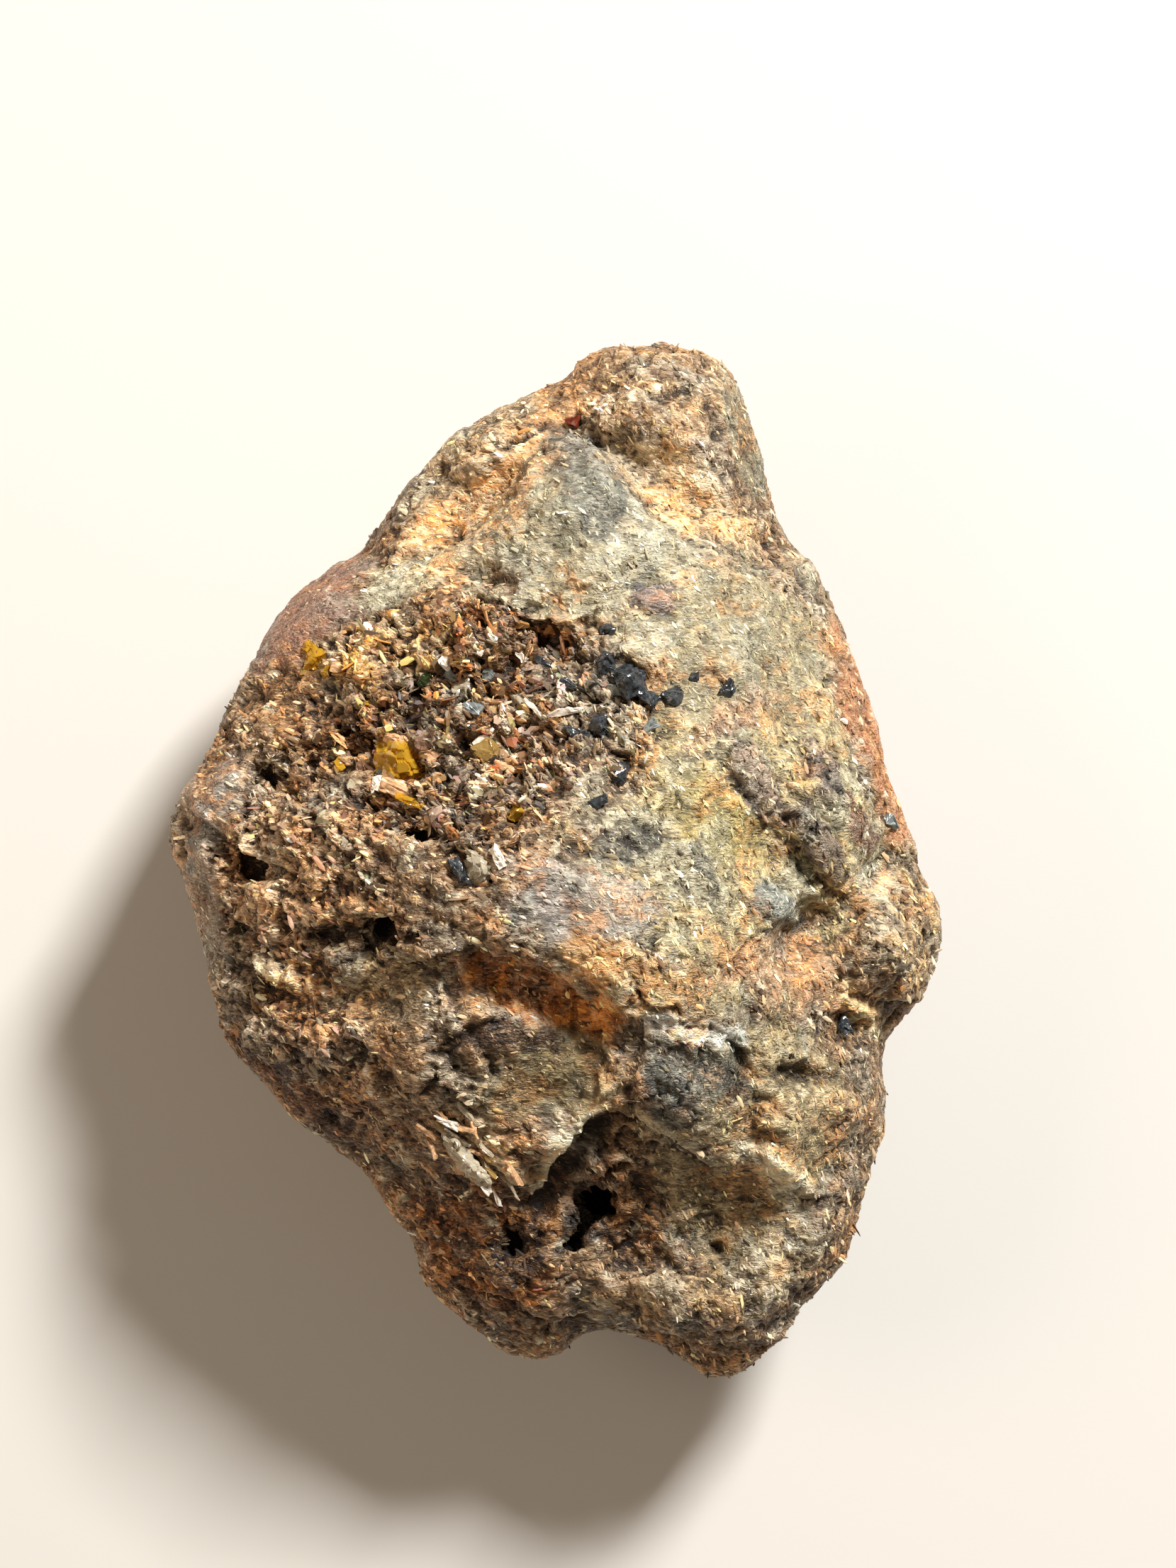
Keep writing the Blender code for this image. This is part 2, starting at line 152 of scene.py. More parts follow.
@dataclass(frozen=True)
class RockNoise:
    """Seeded noise on points in millimetres, worked out for all points at once.

    Attributes:
        seed: Another seed gives another pattern.
    """

    seed: int

    def _random(self, x: np.ndarray, y: np.ndarray, z: np.ndarray, salt: int) -> np.ndarray:
        """A repeatable random number from 0 to 1 for each whole-numbered place."""
        mixed = (x * MIX_X + y * MIX_Y + z * MIX_Z + (self.seed * 31 + salt) * MIX_SEED) & BITS
        mixed = ((mixed ^ (mixed >> 13)) * MIX_SEED) & BITS
        mixed = ((mixed ^ (mixed >> 15)) * MIX_Y) & BITS
        return (mixed ^ (mixed >> 16)) / (BITS + 1)

    def gradient(self, points: np.ndarray, size: float) -> np.ndarray:
        """Smooth noise from about -1 to 1.

        Args:
            points: An array of points, one to a row.
            size: The distance between lumps, in millimetres.

        Returns:
            One value for each point.
        """
        place = points / size
        base = np.floor(place).astype(np.int64)
        inside = place - base
        fade = inside**3 * (inside * (inside * 6 - 15) + 10)
        total = np.zeros(len(points))
        for corner in range(8):
            step = np.array([corner & 1, corner >> 1 & 1, corner >> 2 & 1])
            x, y, z = (base + step).T
            slope = np.stack([self._random(x, y, z, salt) * 2 - 1 for salt in (1, 2, 3)], axis=1)
            weight = np.prod(np.where(step, fade, 1 - fade), axis=1)
            total += weight * np.sum(slope * (inside - step), axis=1)
        return total * 1.6

    def layers(self, points: np.ndarray, size: float, count: int, gain: float = 0.5) -> np.ndarray:
        """Smooth noise of several sizes, each half the last and gain times as strong."""
        total = np.zeros(len(points))
        for layer in range(count):
            total += gain**layer * RockNoise(self.seed + layer).gradient(points, size / 2**layer)
        return total

    def streaks(self, points: np.ndarray, side: np.ndarray, size: float, count: int) -> np.ndarray:
        """Ridges three times as long as they are wide, flatter on the left and steep on the right.

        Args:
            points: An array of points, one to a row.
            side: 0 for points on the nugget's left and 1 for those on its right.
            size: The distance between ridges, in millimetres.
            count: How many sizes of ridge there are, each half the last.

        Returns:
            One value for each point, 1 on a ridge's crest.
        """
        total = np.zeros(len(points))
        for turn, share in ((STREAK_LEFT, 1 - side), (STREAK_RIGHT, side)):
            along, across = turned(points, turn)
            drawn = np.stack([along / 3, across, points[:, 2]], axis=1)
            total += share * (1 - 2.4 * np.abs(self.layers(drawn, size, count, 0.65)))
        return total

    def warped(self, points: np.ndarray, size: float, reach: float) -> np.ndarray:
        """The points, each pushed about by about reach, so that a pattern on them looks less regular."""
        push = [RockNoise(self.seed + 100 * axis).layers(points, size, 2) for axis in range(1, 4)]
        return points + reach * np.stack(push, axis=1)

    def cells(self, points: np.ndarray, size: float) -> "Cells":
        """Broken, cell-like noise.

        Args:
            points: An array of points, one to a row.
            size: The distance between cells, in millimetres.

        Returns:
            The cells that the points lie in.
        """
        place = points / size
        base = np.floor(place).astype(np.int64)
        near = np.full(len(points), 9.0)
        mark = np.zeros(len(points))
        tilt = np.zeros(len(points))
        for number in range(27):
            step = np.array([number % 3 - 1, number // 3 % 3 - 1, number // 9 - 1])
            x, y, z = (base + step).T
            middle = np.stack([self._random(x, y, z, salt) for salt in (4, 5, 6)], axis=1) + base + step
            offset = place - middle
            far = np.linalg.norm(offset, axis=1)
            slope = np.stack([self._random(x, y, z, salt) * 2 - 1 for salt in (8, 9, 10)], axis=1)
            closer = far < near
            mark = np.where(closer, self._random(x, y, z, 7), mark)
            tilt = np.where(closer, np.sum(slope * offset, axis=1), tilt)
            near = np.where(closer, far, near)
        return Cells(near, mark, tilt)


@dataclass(frozen=True)
class Cells:
    """Where points lie in a pattern of broken cells.

    Attributes:
        near: The distance to the middle of the point's own cell, in cells.
        mark: A random number from 0 to 1, the same all over a cell.
        tilt: The height of a flat face that leans its own way in each cell.
    """

    near: np.ndarray
    mark: np.ndarray
    tilt: np.ndarray


@dataclass(frozen=True)
class Oval:
    """An oval place on the nugget, seen from above, in millimetres.

    Attributes:
        x: Its middle.
        y: Its middle.
        half_long: Half its length.
        half_wide: Half its width.
        turn: Its turn, in degrees anticlockwise.
    """

    x: float
    y: float
    half_long: float
    half_wide: float
    turn: float = 0.0

    def radius(self, points: np.ndarray) -> np.ndarray:
        """0 at the middle and 1 at the edge, for each point."""
        along, across = turned(points[:, :2] - (self.x, self.y), self.turn)
        return np.hypot(along / self.half_long, across / self.half_wide)


@dataclass(frozen=True)
class Zone:
    """A stain or kind of crust.

    Attributes:
        name: What it is called.
        oval: Where it is.
        tint: Its main colour, as sRGB hex.
        fleck: The colour of its blotches.
        flecked: How much of it the blotches cover, from 0 to 1.
        rough: How crumbly its surface is, from 0 to 1.
        pores: How full of holes it is, from 0 to 1.
        share: How fully it covers what is under it, from 0 to 1.
    """

    name: str
    oval: Oval
    tint: str
    fleck: str
    flecked: float
    rough: float
    pores: float = 0.0
    share: float = 0.92


BASE_TINT = "#9a7a57"
UNDER_TINT = "#785f45"
BASE_FLECK = "#3e2812"

ZONES = (
    Zone("left_body", Oval(-13.0, 0.0, 6.5, 6.0, 80), "#cca57c", "#462e18", 0.5, 0.8, 0.5),
    Zone("lower_left", Oval(-12.0, -8.0, 5.5, 4.0, -45), "#b58a60", "#2f1d0d", 0.5, 0.8, 0.4),
    Zone("right_half", Oval(8.6, 1.6, 10.0, 7.6, 70), "#c6b27f", "#6f6a55", 0.45, 0.45),
    Zone("plateau", Oval(2.6, 14.6, 8.0, 4.6, -15), "#c2b693", "#74766a", 0.45, 0.35),
    Zone("upper_right_slope", Oval(9.0, 10.8, 4.6, 4.0, -60), "#a2946f", "#6f6b5b", 0.4, 0.3),
    Zone("nose", Oval(1.8, 18.2, 3.0, 1.7, -60), "#63645b", "#33393b", 0.5, 0.35, 0.0, 0.8),
    Zone("upper_knob", Oval(6.2, 22.2, 4.4, 3.2, -50), "#a38259", "#5c432d", 0.45, 0.6, 0.1),
    Zone("knob_side", Oval(9.0, 20.8, 3.4, 1.3, -75), "#8b7f62", "#55503e", 0.4, 0.5),
    Zone("knob_valley", Oval(5.9, 17.9, 4.8, 1.5, -35), "#e0a564", "#f6e2b4", 0.4, 0.45),
    Zone("left_valley", Oval(-4.5, 16.8, 4.0, 1.2, 42), "#e39d54", "#ffe6b4", 0.4, 0.45),
    Zone("upper_left_lobe", Oval(-4.4, 19.7, 3.8, 1.4, 38), "#bb9b71", "#5a4a38", 0.4, 0.6),
    Zone("left_flank", Oval(-11.6, 12.0, 3.6, 1.9, 45), "#9f725a", "#56484a", 0.4, 0.15),
    Zone("cream_strip", Oval(-6.8, 13.7, 3.4, 1.1, 20), "#d6c8a0", "#918062", 0.4, 0.4),
    Zone("crystal_cavity", Oval(-4.6, 6.4, 7.2, 5.2, 5), "#976a3d", "#2a190c", 0.5, 1.0, 0.9),
    Zone("cavity_head", Oval(-1.4, 10.6, 3.8, 1.6, -8), "#a87038", "#2c190b", 0.5, 1.0, 0.8),
    Zone("ochre_patch", Oval(-8.8, 10.2, 3.0, 1.7, 20), "#dca243", "#7a4a1e", 0.45, 0.9, 0.6),
    Zone("dark_grains", Oval(2.6, 7.0, 3.4, 1.7, -70), "#b39069", "#32271c", 0.5, 0.9, 0.6, 0.8),
    Zone("silver_crust", Oval(1.2, -1.9, 4.0, 2.0, -12), "#a7a5a0", "#66635f", 0.5, 0.4, 0.0, 0.7),
    Zone("orange_bank", Oval(3.6, -4.7, 3.4, 1.1, -15), "#b07a3e", "#d0ac74", 0.35, 0.6),
    Zone("pink_bank", Oval(11.6, -5.6, 3.4, 1.9, -28), "#c99a6e", "#86674a", 0.4, 0.5),
    # Real rust, painted much brighter than its own colour to light up the hollow, which lies in shade below
    # the ridge: painted light
    Zone("rust_hollow", Oval(-0.6, -6.2, 4.0, 1.5, -22), "#ff9f38", "#bf6a22", 0.45, 0.5),
    Zone("green_bowl", Oval(-0.6, -9.9, 3.2, 2.3, 25), "#8f7d54", "#463a24", 0.45, 0.35),
    Zone("left_bowl", Oval(-8.2, -5.4, 2.6, 2.0, -70), "#b99f74", "#453321", 0.4, 0.5),
    Zone("lower_plate", Oval(9.8, -11.4, 5.8, 4.0, -70), "#b09c70", "#544b37", 0.45, 0.4),
    Zone("pale_bank", Oval(2.0, -11.2, 2.3, 0.8, 48), "#a8946c", "#6c5a3c", 0.35, 0.35),
    Zone("lower_slope", Oval(8.2, -16.6, 4.4, 2.9, -35), "#a8936a", "#4c3d25", 0.45, 0.45),
    Zone("lower_plate_grey", Oval(6.5, -9.6, 3.1, 2.2, -30), "#66685d", "#2c2d29", 0.45, 0.45, 0.0, 0.85),
    Zone("lower_plate_dark", Oval(5.4, -10.8, 2.0, 1.3, -65), "#56564e", "#1a1a18", 0.5, 0.5, 0.0, 0.85),
    Zone("lower_basin", Oval(1.6, -16.4, 3.6, 2.6, -15), "#704112", "#261505", 0.5, 0.6, 0.25),
    Zone("lower_left_foot", Oval(-3.6, -18.6, 4.0, 3.0, -40), "#90500a", "#331a08", 0.5, 0.65, 0.25),
    # Painted shade: a near-black tint over the deep hole
    Zone("black_hole", Oval(1.6, -16.8, 2.0, 1.0, 58), "#140c07", "#080504", 0.5, 0.5, 0.0, 0.97),
    Zone("lower_lip", Oval(6.0, -20.9, 5.6, 1.1, 3), "#9d7f52", "#4c3820", 0.45, 0.7),
    Zone("lower_right_lip", Oval(11.0, -18.9, 2.8, 1.3, 38), "#c3a97e", "#6f5b42", 0.4, 0.6),
    Zone("right_edge", Oval(15.2, 6.2, 5.6, 1.5, -72), "#9a5a36", "#ad8054", 0.4, 0.5),
    Zone("right_knob", Oval(16.6, -2.6, 2.8, 2.2, 80), "#a98757", "#5c4a35", 0.4, 0.7, 0.2),
    Zone("pink_stain", Oval(8.3, 6.9, 2.6, 0.8, 35), "#bd9872", "#7e5e46", 0.4, 0.5),
    Zone("yellow_stain", Oval(7.4, 2.2, 2.8, 1.6, -50), "#b09c5e", "#7e7850", 0.4, 0.4),
    Zone("pale_patch", Oval(15.0, -0.6, 1.6, 0.9, -40), "#d8ccab", "#9b8f70", 0.4, 0.3),
    Zone("rust_streak", Oval(10.4, -3.8, 3.6, 0.7, 32), "#d2b08a", "#96714f", 0.45, 0.5),
    Zone("left_rim", Oval(-17.0, -0.5, 6.0, 0.9, 96), "#a8917b", "#5f4c3e", 0.35, 0.2),
    Zone("lit_slope", Oval(10.6, -14.8, 2.8, 0.9, -48), "#fbeecb", "#a08e6c", 0.35, 0.35),
    Zone("splinter_bank", Oval(-2.8, -13.6, 2.6, 0.9, -50), "#d3bd98", "#6f583b", 0.35, 0.5),
    # Painted shade: a near-black tint over the hollow at the foot
    Zone("foot_hollow", Oval(-1.9, -18.5, 1.9, 1.2, 30), "#200f05", "#0c0602", 0.45, 0.7, 0.3, 0.85),
    # Partly the shelf's own pale colour, partly painted light over the shadow that the wall above it casts
    Zone("panel_rim", Oval(6.2, -7.7, 2.7, 0.5, -8), "#f2f1e4", "#b3b2a8", 0.35, 0.3),
    # Painted light: a pale tint on the left flank where it catches the light
    Zone("left_light", Oval(-12.8, -5.2, 2.6, 0.8, -28), "#e6cda6", "#7d6449", 0.35, 0.6, 0.2),
    Zone("bowl_shadow", Oval(-2.4, -8.1, 2.9, 0.8, -4), "#361d07", "#190d04", 0.4, 0.4),
    Zone("plate_shadow", Oval(11.8, -10.0, 2.3, 0.7, -8), "#66583a", "#2f281a", 0.4, 0.4),
    Zone("low_left_rim", Oval(-12.6, -10.8, 4.6, 0.9, -42), "#5c2f08", "#211005", 0.45, 0.5, 0.2),
    # Painted shade: a darker tint in the dip
    Zone("cavity_dip", Oval(-8.4, 3.1, 2.3, 0.7, -12), "#5b3c20", "#1e1107", 0.45, 0.8, 0.5, 0.8),
    Zone("loop_shadow", Oval(8.5, -10.4, 1.2, 0.8, -60), "#2e2a20", "#14110c", 0.4, 0.4, 0.0, 0.85),
    # Painted light: a pale tint on the knob's foot, whose slope faces away from the key light
    Zone("knob_cheek", Oval(2.3, 21.2, 1.9, 1.2, -30), "#e2b27c", "#94683f", 0.4, 0.5),
    # Painted light: a pale tint over the notch in the right edge, which lies in shade
    Zone("edge_light", Oval(14.7, -7.0, 1.7, 0.9, -40), "#efd9aa", "#b2966a", 0.35, 0.3),
    # Painted shade: a dark tint over the crevice above the left bowl
    Zone("bowl_brow", Oval(-9.0, -3.7, 3.0, 1.1, 10), "#4a3520", "#1c120a", 0.45, 0.7, 0.4, 0.75),
    Zone("left_brow_shadow", Oval(-11.8, 2.8, 2.0, 0.7, -15), "#5c432a", "#24170c", 0.45, 0.8, 0.5, 0.75),
    # Painted shade: a dark tint in a crevice below the left bowl
    Zone("bowl_west", Oval(-7.2, -7.4, 1.7, 1.2, 60), "#6e5535", "#2a1c0e", 0.45, 0.5, 0.2, 0.7),
    Zone("left_lit", Oval(-13.4, 0.2, 2.0, 0.8, -20), "#dbc19a", "#7a6146", 0.35, 0.6, 0.2, 0.6),
    Zone("cavity_lit", Oval(-6.4, 9.8, 1.7, 1.0, 20), "#ddb47c", "#7f5b36", 0.4, 0.8, 0.4, 0.75),
    # Painted light: a pale tint on the lit lip of the green bowl
    Zone("bowl_lip", Oval(0.3, -13.5, 2.7, 0.6, 50), "#ecd8ae", "#a08a60", 0.35, 0.35, 0.0, 0.8),
    Zone("ledge_lit", Oval(5.0, -12.8, 2.5, 0.55, -22), "#cdb68a", "#6c5a3c", 0.35, 0.4, 0.0, 0.8),
    Zone("grey_left_streak", Oval(-16.2, 2.6, 2.6, 0.9, 65), "#8f8a80", "#5a5450", 0.4, 0.3),
    Zone("scab_upper", Oval(9.4, 4.1, 2.7, 0.95, -59), "#58463d", "#85725e", 0.35, 0.6, 0.3),
    Zone("scab_middle", Oval(12.6, 4.4, 1.7, 0.8, -62), "#5c463e", "#352a27", 0.4, 0.6, 0.2),
    Zone("scab_lower", Oval(12.2, 1.3, 2.2, 0.9, -58), "#24160f", "#4a392c", 0.3, 0.7, 0.4),
    Zone("scab_red", Oval(14.3, 1.8, 1.6, 0.6, -70), "#7c4526", "#4a2c1c", 0.4, 0.6),
    Zone("blue_bump", Oval(10.5, -2.0, 1.4, 0.8, -35), "#7f847c", "#3a4042", 0.45, 0.3),
    Zone("dark_patch_middle", Oval(6.9, 0.1, 1.9, 0.45, -58), "#5c584a", "#36332c", 0.45, 0.5, 0.0, 0.8),
    Zone("dark_patch_upper", Oval(3.6, 1.0, 1.9, 0.85, 14), "#4a4843", "#262525", 0.45, 0.6, 0.2, 0.8),
    Zone("purple_bump", Oval(4.6, 12.6, 1.2, 0.8, -20), "#7d7678", "#504849", 0.4, 0.2),
)


def line_distance(line: Line, points: np.ndarray) -> np.ndarray:
    """How far each point is from a line of straight parts, seen from above.

    Args:
        line: The line's corners, as X and Y in millimetres.
        points: An array of points, one to a row.

    Returns:
        The distance, above zero on the line's right and below zero on its left.
    """
    best = np.full(len(points), 1e9)
    for start, end in zip(line, line[1:]):
        side = np.subtract(end, start)
        from_start = points[:, :2] - start
        share = np.clip(from_start @ side / (side @ side), 0, 1)
        gap = from_start - share[:, None] * side
        far = np.hypot(gap[:, 0], gap[:, 1])
        right = side[0] * gap[:, 1] - side[1] * gap[:, 0] < 0
        best = np.where(far < np.abs(best), np.where(right, far, -far), best)
    return best


@dataclass(frozen=True)
class Ledge:
    """A sharp step: the crust drops on the right of the way that its line runs, and rises back.

    Attributes:
        name: What it is called.
        line: Its corners, as X and Y in millimetres.
        drop: How far it drops, in millimetres.
        reach: How far the drop reaches from the line, in millimetres.
        width: How wide the step itself is, in millimetres.
    """

    name: str
    line: Line
    drop: float
    reach: float
    width: float = 0.3

    def fall(self, points: np.ndarray, wobble: np.ndarray) -> np.ndarray:
        """How far the crust drops at each point.

        Args:
            points: An array of points, one to a row.
            wobble: How far each point is shifted across the line, so that the line isn't smooth.

        Returns:
            One value for each point, in millimetres.
        """
        distance = line_distance(self.line, points)
        step = smoothstep(-self.width * 0.5, self.width * 0.5, distance + wobble)
        lip = 0.2 * (1 - step) * np.exp(-((distance / 0.35) ** 2))
        return self.drop * (step * np.exp(-((distance / self.reach) ** 2)) - lip)


@dataclass(frozen=True)
class Crack:
    """A narrow groove.

    Attributes:
        name: What it is called.
        line: Its corners, as X and Y in millimetres.
        depth: How deep it is, in millimetres.
        half_wide: Half its width, in millimetres.
    """

    name: str
    line: Line
    depth: float
    half_wide: float

    def fall(self, points: np.ndarray, wobble: np.ndarray) -> np.ndarray:
        """How far the crust drops at each point, as a ledge's fall does."""
        distance = line_distance(self.line, points)
        return self.depth * (1 - smoothstep(0.0, self.half_wide, np.abs(distance + wobble)))


@dataclass(frozen=True)
class Swell:
    """A bump, or with a height below zero a hollow.

    Attributes:
        name: What it is called.
        oval: Where it is.
        height: Its height, in millimetres.
        edge: How steep its side is, from 0 for a soft dome to 1 for a cliff.
    """

    name: str
    oval: Oval
    height: float
    edge: float = 0.3

    def rise(self, points: np.ndarray, wobble: np.ndarray) -> np.ndarray:
        """How far the crust rises at each point, in millimetres."""
        radius = self.oval.radius(points) + wobble
        return self.height * (1 - smoothstep(self.edge, 1.1, radius))


# For each layer of leaning faces its seed, and the faces' size and height in millimetres
FACE_LAYERS = ((43, 5.2, 0.6), (31, 2.9, 0.3), (37, 1.4, 0.1), (41, 0.7, 0.07))

# For each layer of flakes in the broken crust its seed, and the flakes' size and height in millimetres
FLAKE_LAYERS = ((113, 1.25, 0.5), (127, 0.62, 0.3))

# How much the tone varies in each layer of flakes, and the casts that flakes with certain tones have
FLAKE_SPREADS = (0.9, 1.1)
FLAKE_CASTS = ((0.86, "#c9bfa8"), (0.72, "#c07a33"), (0.6, "#57554f"))

# For each size of hole its seed, its distance and depth in millimetres, and how often it comes
HOLE_LAYERS = ((61, 2.3, 0.5, 0.14), (67, 1.2, 0.4, 0.2), (73, 0.7, 0.25, 0.3))

# Wide stains, marked 1 for the one where the stain noise is high and -1 for the one where it is low
STAINS = ((1, "#c47f38"), (-1, "#7f8478"))

# For each kind of speck its seed, its distance in millimetres, the mark above which a cell has one,
# and its colour
SPECKS = ((97, 0.7, 0.88, "#f1e5c2"), (101, 0.8, 0.9, "#2c2019"))

# How many millimetres a place stands off the smoothed crust at full wear and painted shade, by the steps of
# smoothing
WEAR_AND_SHADE_SCALES = {4: 0.07, 16: 0.13, 60: 0.25}

LEDGES = (
    Ledge(
        "nose_edge",
        ((8.6, 14.0), (7.0, 14.8), (5.3, 16.0), (3.9, 17.3), (2.9, 19.2), (1.8, 20.1), (0.4, 20.3),
         (-0.8, 19.5), (-1.9, 17.7), (-3.6, 16.0), (-5.3, 14.4)),
        0.25,
        0.9,
        0.5,
    ),
    Ledge(
        "plateau_edge", ((-5.2, 13.9), (-3.4, 13.4), (-1.5, 12.9), (0.5, 12.4), (2.2, 13.2)), -0.3, 1.6, 0.6
    ),
    Ledge("cavity_wall", ((-4.2, 9.3), (-2.2, 9.9), (-0.6, 9.4)), 0.25, 0.8),
    Ledge("black_shelf", ((0.6, 9.9), (2.0, 9.7), (3.1, 10.0), (4.8, 8.9)), 0.15, 0.7),
    Ledge(
        "central_ridge",
        ((-5.6, -4.3), (-3.9, -3.8), (-2.9, -4.3), (-0.8, -4.7), (0.5, -5.2), (1.9, -6.4), (3.6, -7.1)),
        0.65,
        1.2,
        0.3,
    ),
    Ledge("right_ridge", ((3.6, -7.1), (5.3, -7.3), (7.3, -7.5), (8.7, -8.1), (9.2, -9.4)), 0.25, 0.8),
    Ledge("bowl_edge", ((3.9, -7.6), (4.1, -8.6), (3.6, -9.9), (3.5, -11.3)), 0.35, 0.7, 0.2),
    Ledge(
        "green_bowl_lip",
        ((3.5, -11.3), (1.9, -11.8), (0.9, -12.8), (0.2, -13.9), (-0.6, -15.2))[::-1],
        0.75,
        1.1,
    ),
    Ledge("lower_ledge", ((2.6, -12.2), (4.6, -12.6), (6.0, -13.3), (7.2, -14.2)), 0.55, 1.0),
    Ledge("small_ridge", ((-4.7, -8.0), (-3.8, -7.4), (-2.8, -7.2)), 0.35, 0.7),
    Ledge("bowl_left_edge", ((-3.3, -9.5), (-4.2, -7.8), (-5.2, -6.0)), 0.3, 0.9),
    Ledge("flake_edge", ((13.2, 12.4), (12.0, 13.1), (11.1, 13.9), (9.9, 15.0)), 0.45, 0.8, 0.2),
    Ledge("left_lobe_edge", ((-5.4, 18.6), (-4.0, 19.4), (-2.6, 19.6), (-1.2, 20.4))[::-1], 0.35, 0.8),
    Ledge("left_shelf", ((-17.0, 2.2), (-14.6, 0.4), (-13.0, -0.2)), 0.5, 1.0),
    Ledge("lower_foot_edge", ((-5.6, -20.2), (-3.6, -20.6), (-1.0, -21.6), (0.8, -21.8)), 0.4, 0.9),
)

CRACKS = (
    Crack("bowl_crack", ((3.9, -7.6), (4.2, -8.6), (3.7, -9.9), (3.6, -11.3), (3.7, -12.7)), 0.35, 0.16),
    Crack("plateau_crack", ((4.9, 9.6), (5.6, 8.3), (7.3, 9.1), (8.2, 8.4)), 0.3, 0.14),
    Crack("flake_gap", ((13.3, 12.2), (12.0, 12.9), (11.0, 13.7), (10.2, 14.6)), 0.5, 0.2),
    Crack("panel_crack_right", ((6.6, -8.6), (6.9, -9.4), (6.2, -10.4), (5.9, -11.2)), 0.22, 0.16),
    Crack("panel_crack_left", ((4.8, -10.2), (4.9, -11.3), (5.4, -12.0)), 0.25, 0.16),
    Crack("dark_loop", ((8.1, -8.3), (8.8, -8.9), (9.0, -9.9), (8.5, -11.0)), 0.38, 0.22),
    Crack("lip_crack", ((2.7, -13.2), (3.4, -13.9), (4.4, -14.4)), 0.25, 0.15),
)

SWELLS = (
    Swell("nose_ridge", Oval(2.0, 18.6, 2.2, 0.6, -60), 0.3, 0.2),
    Swell("below_plateau", Oval(-0.3, 11.7, 3.4, 1.3, -4), 0.7, 0.2),
    Swell("purple_bump", Oval(4.6, 12.6, 1.1, 0.7, -20), 0.35, 0.5),
    Swell("scab_upper", Oval(9.3, 4.3, 2.5, 0.8, -60), 0.4, 0.7),
    Swell("scab_middle", Oval(12.6, 4.4, 1.7, 0.7, -62), 0.35, 0.7),
    Swell("scab_lower", Oval(12.4, 1.0, 2.5, 0.85, -58), 0.5, 0.7),
    Swell("scab_gap", Oval(11.6, 3.0, 1.3, 0.3, -50), -0.3, 0.3),
    Swell("blue_bump", Oval(10.6, -1.9, 1.2, 0.7, -35), 0.3, 0.5),
    Swell("dark_patch_middle", Oval(6.7, -0.1, 1.9, 0.6, -45), 0.2, 0.5),
    Swell("plate_bump", Oval(10.2, -12.0, 0.9, 0.6, -50), 0.35, 0.4),
    Swell("edge_fill", Oval(14.4, -6.7, 1.3, 0.9, -35), 1.0, 0.0),
    Swell("knob_hollow", Oval(5.4, 22.2, 1.3, 0.7, 20), -0.35),
    Swell("left_hollow", Oval(-10.9, -3.4, 1.2, 0.7, 0), -0.5),
    Swell("lower_left_hollow", Oval(-4.6, -9.5, 1.4, 0.9, -60), -0.4),
    Swell("basin_hollow", Oval(-0.6, -16.4, 1.1, 0.8, 30), -0.5),
    Swell("basin_hollow_right", Oval(7.0, -17.4, 1.4, 0.9, 30), -0.4),
    Swell("rim_fill", Oval(6.2, -8.2, 3.0, 1.0, -8), 0.45, 0.0),
    Swell("scab_foot_fill", Oval(12.9, -1.8, 1.4, 0.6, -35), 0.4, 0.0),
    Swell("left_dip", Oval(-9.4, -3.0, 3.0, 0.8, 5), -0.6, 0.1),
    Swell("left_light", Oval(-12.8, -5.3, 2.4, 0.8, -28), 0.9, 0.0),
    Swell("knob_shoulder", Oval(2.5, 21.2, 1.8, 1.4, 20), 1.0, 0.0),
    Swell("splinter_bank", Oval(-2.4, -14.0, 2.5, 1.0, -50), 0.5, 0.1),
    Swell("foot_hollow", Oval(-1.9, -18.5, 1.7, 1.1, 30), -0.4, 0.0),
    Swell("plate_dip", Oval(11.8, -10.0, 2.1, 0.7, -8), -0.8, 0.1),
    Swell("cavity_dip", Oval(-8.6, 3.0, 1.8, 0.7, -12), -0.9, 0.2),
    Swell("cavity_dip_upper", Oval(-3.0, 8.9, 1.3, 0.6, -30), -0.5, 0.2),
    Swell("light_bank", Oval(10.8, -14.4, 2.6, 0.8, -46), 0.6, 0.1),
    Swell("pale_bank", Oval(2.0, -11.0, 2.3, 0.9, 48), 0.35, 0.3),
    Swell("left_rise", Oval(-13.6, -6.6, 2.4, 0.8, -30), 0.4, 0.2),
    Swell("lower_left_dip", Oval(-8.6, -9.4, 2.2, 0.7, -40), -0.45, 0.2),
    Swell("left_brow", Oval(-14.0, 1.4, 2.8, 0.8, -20), 0.4, 0.2),
)

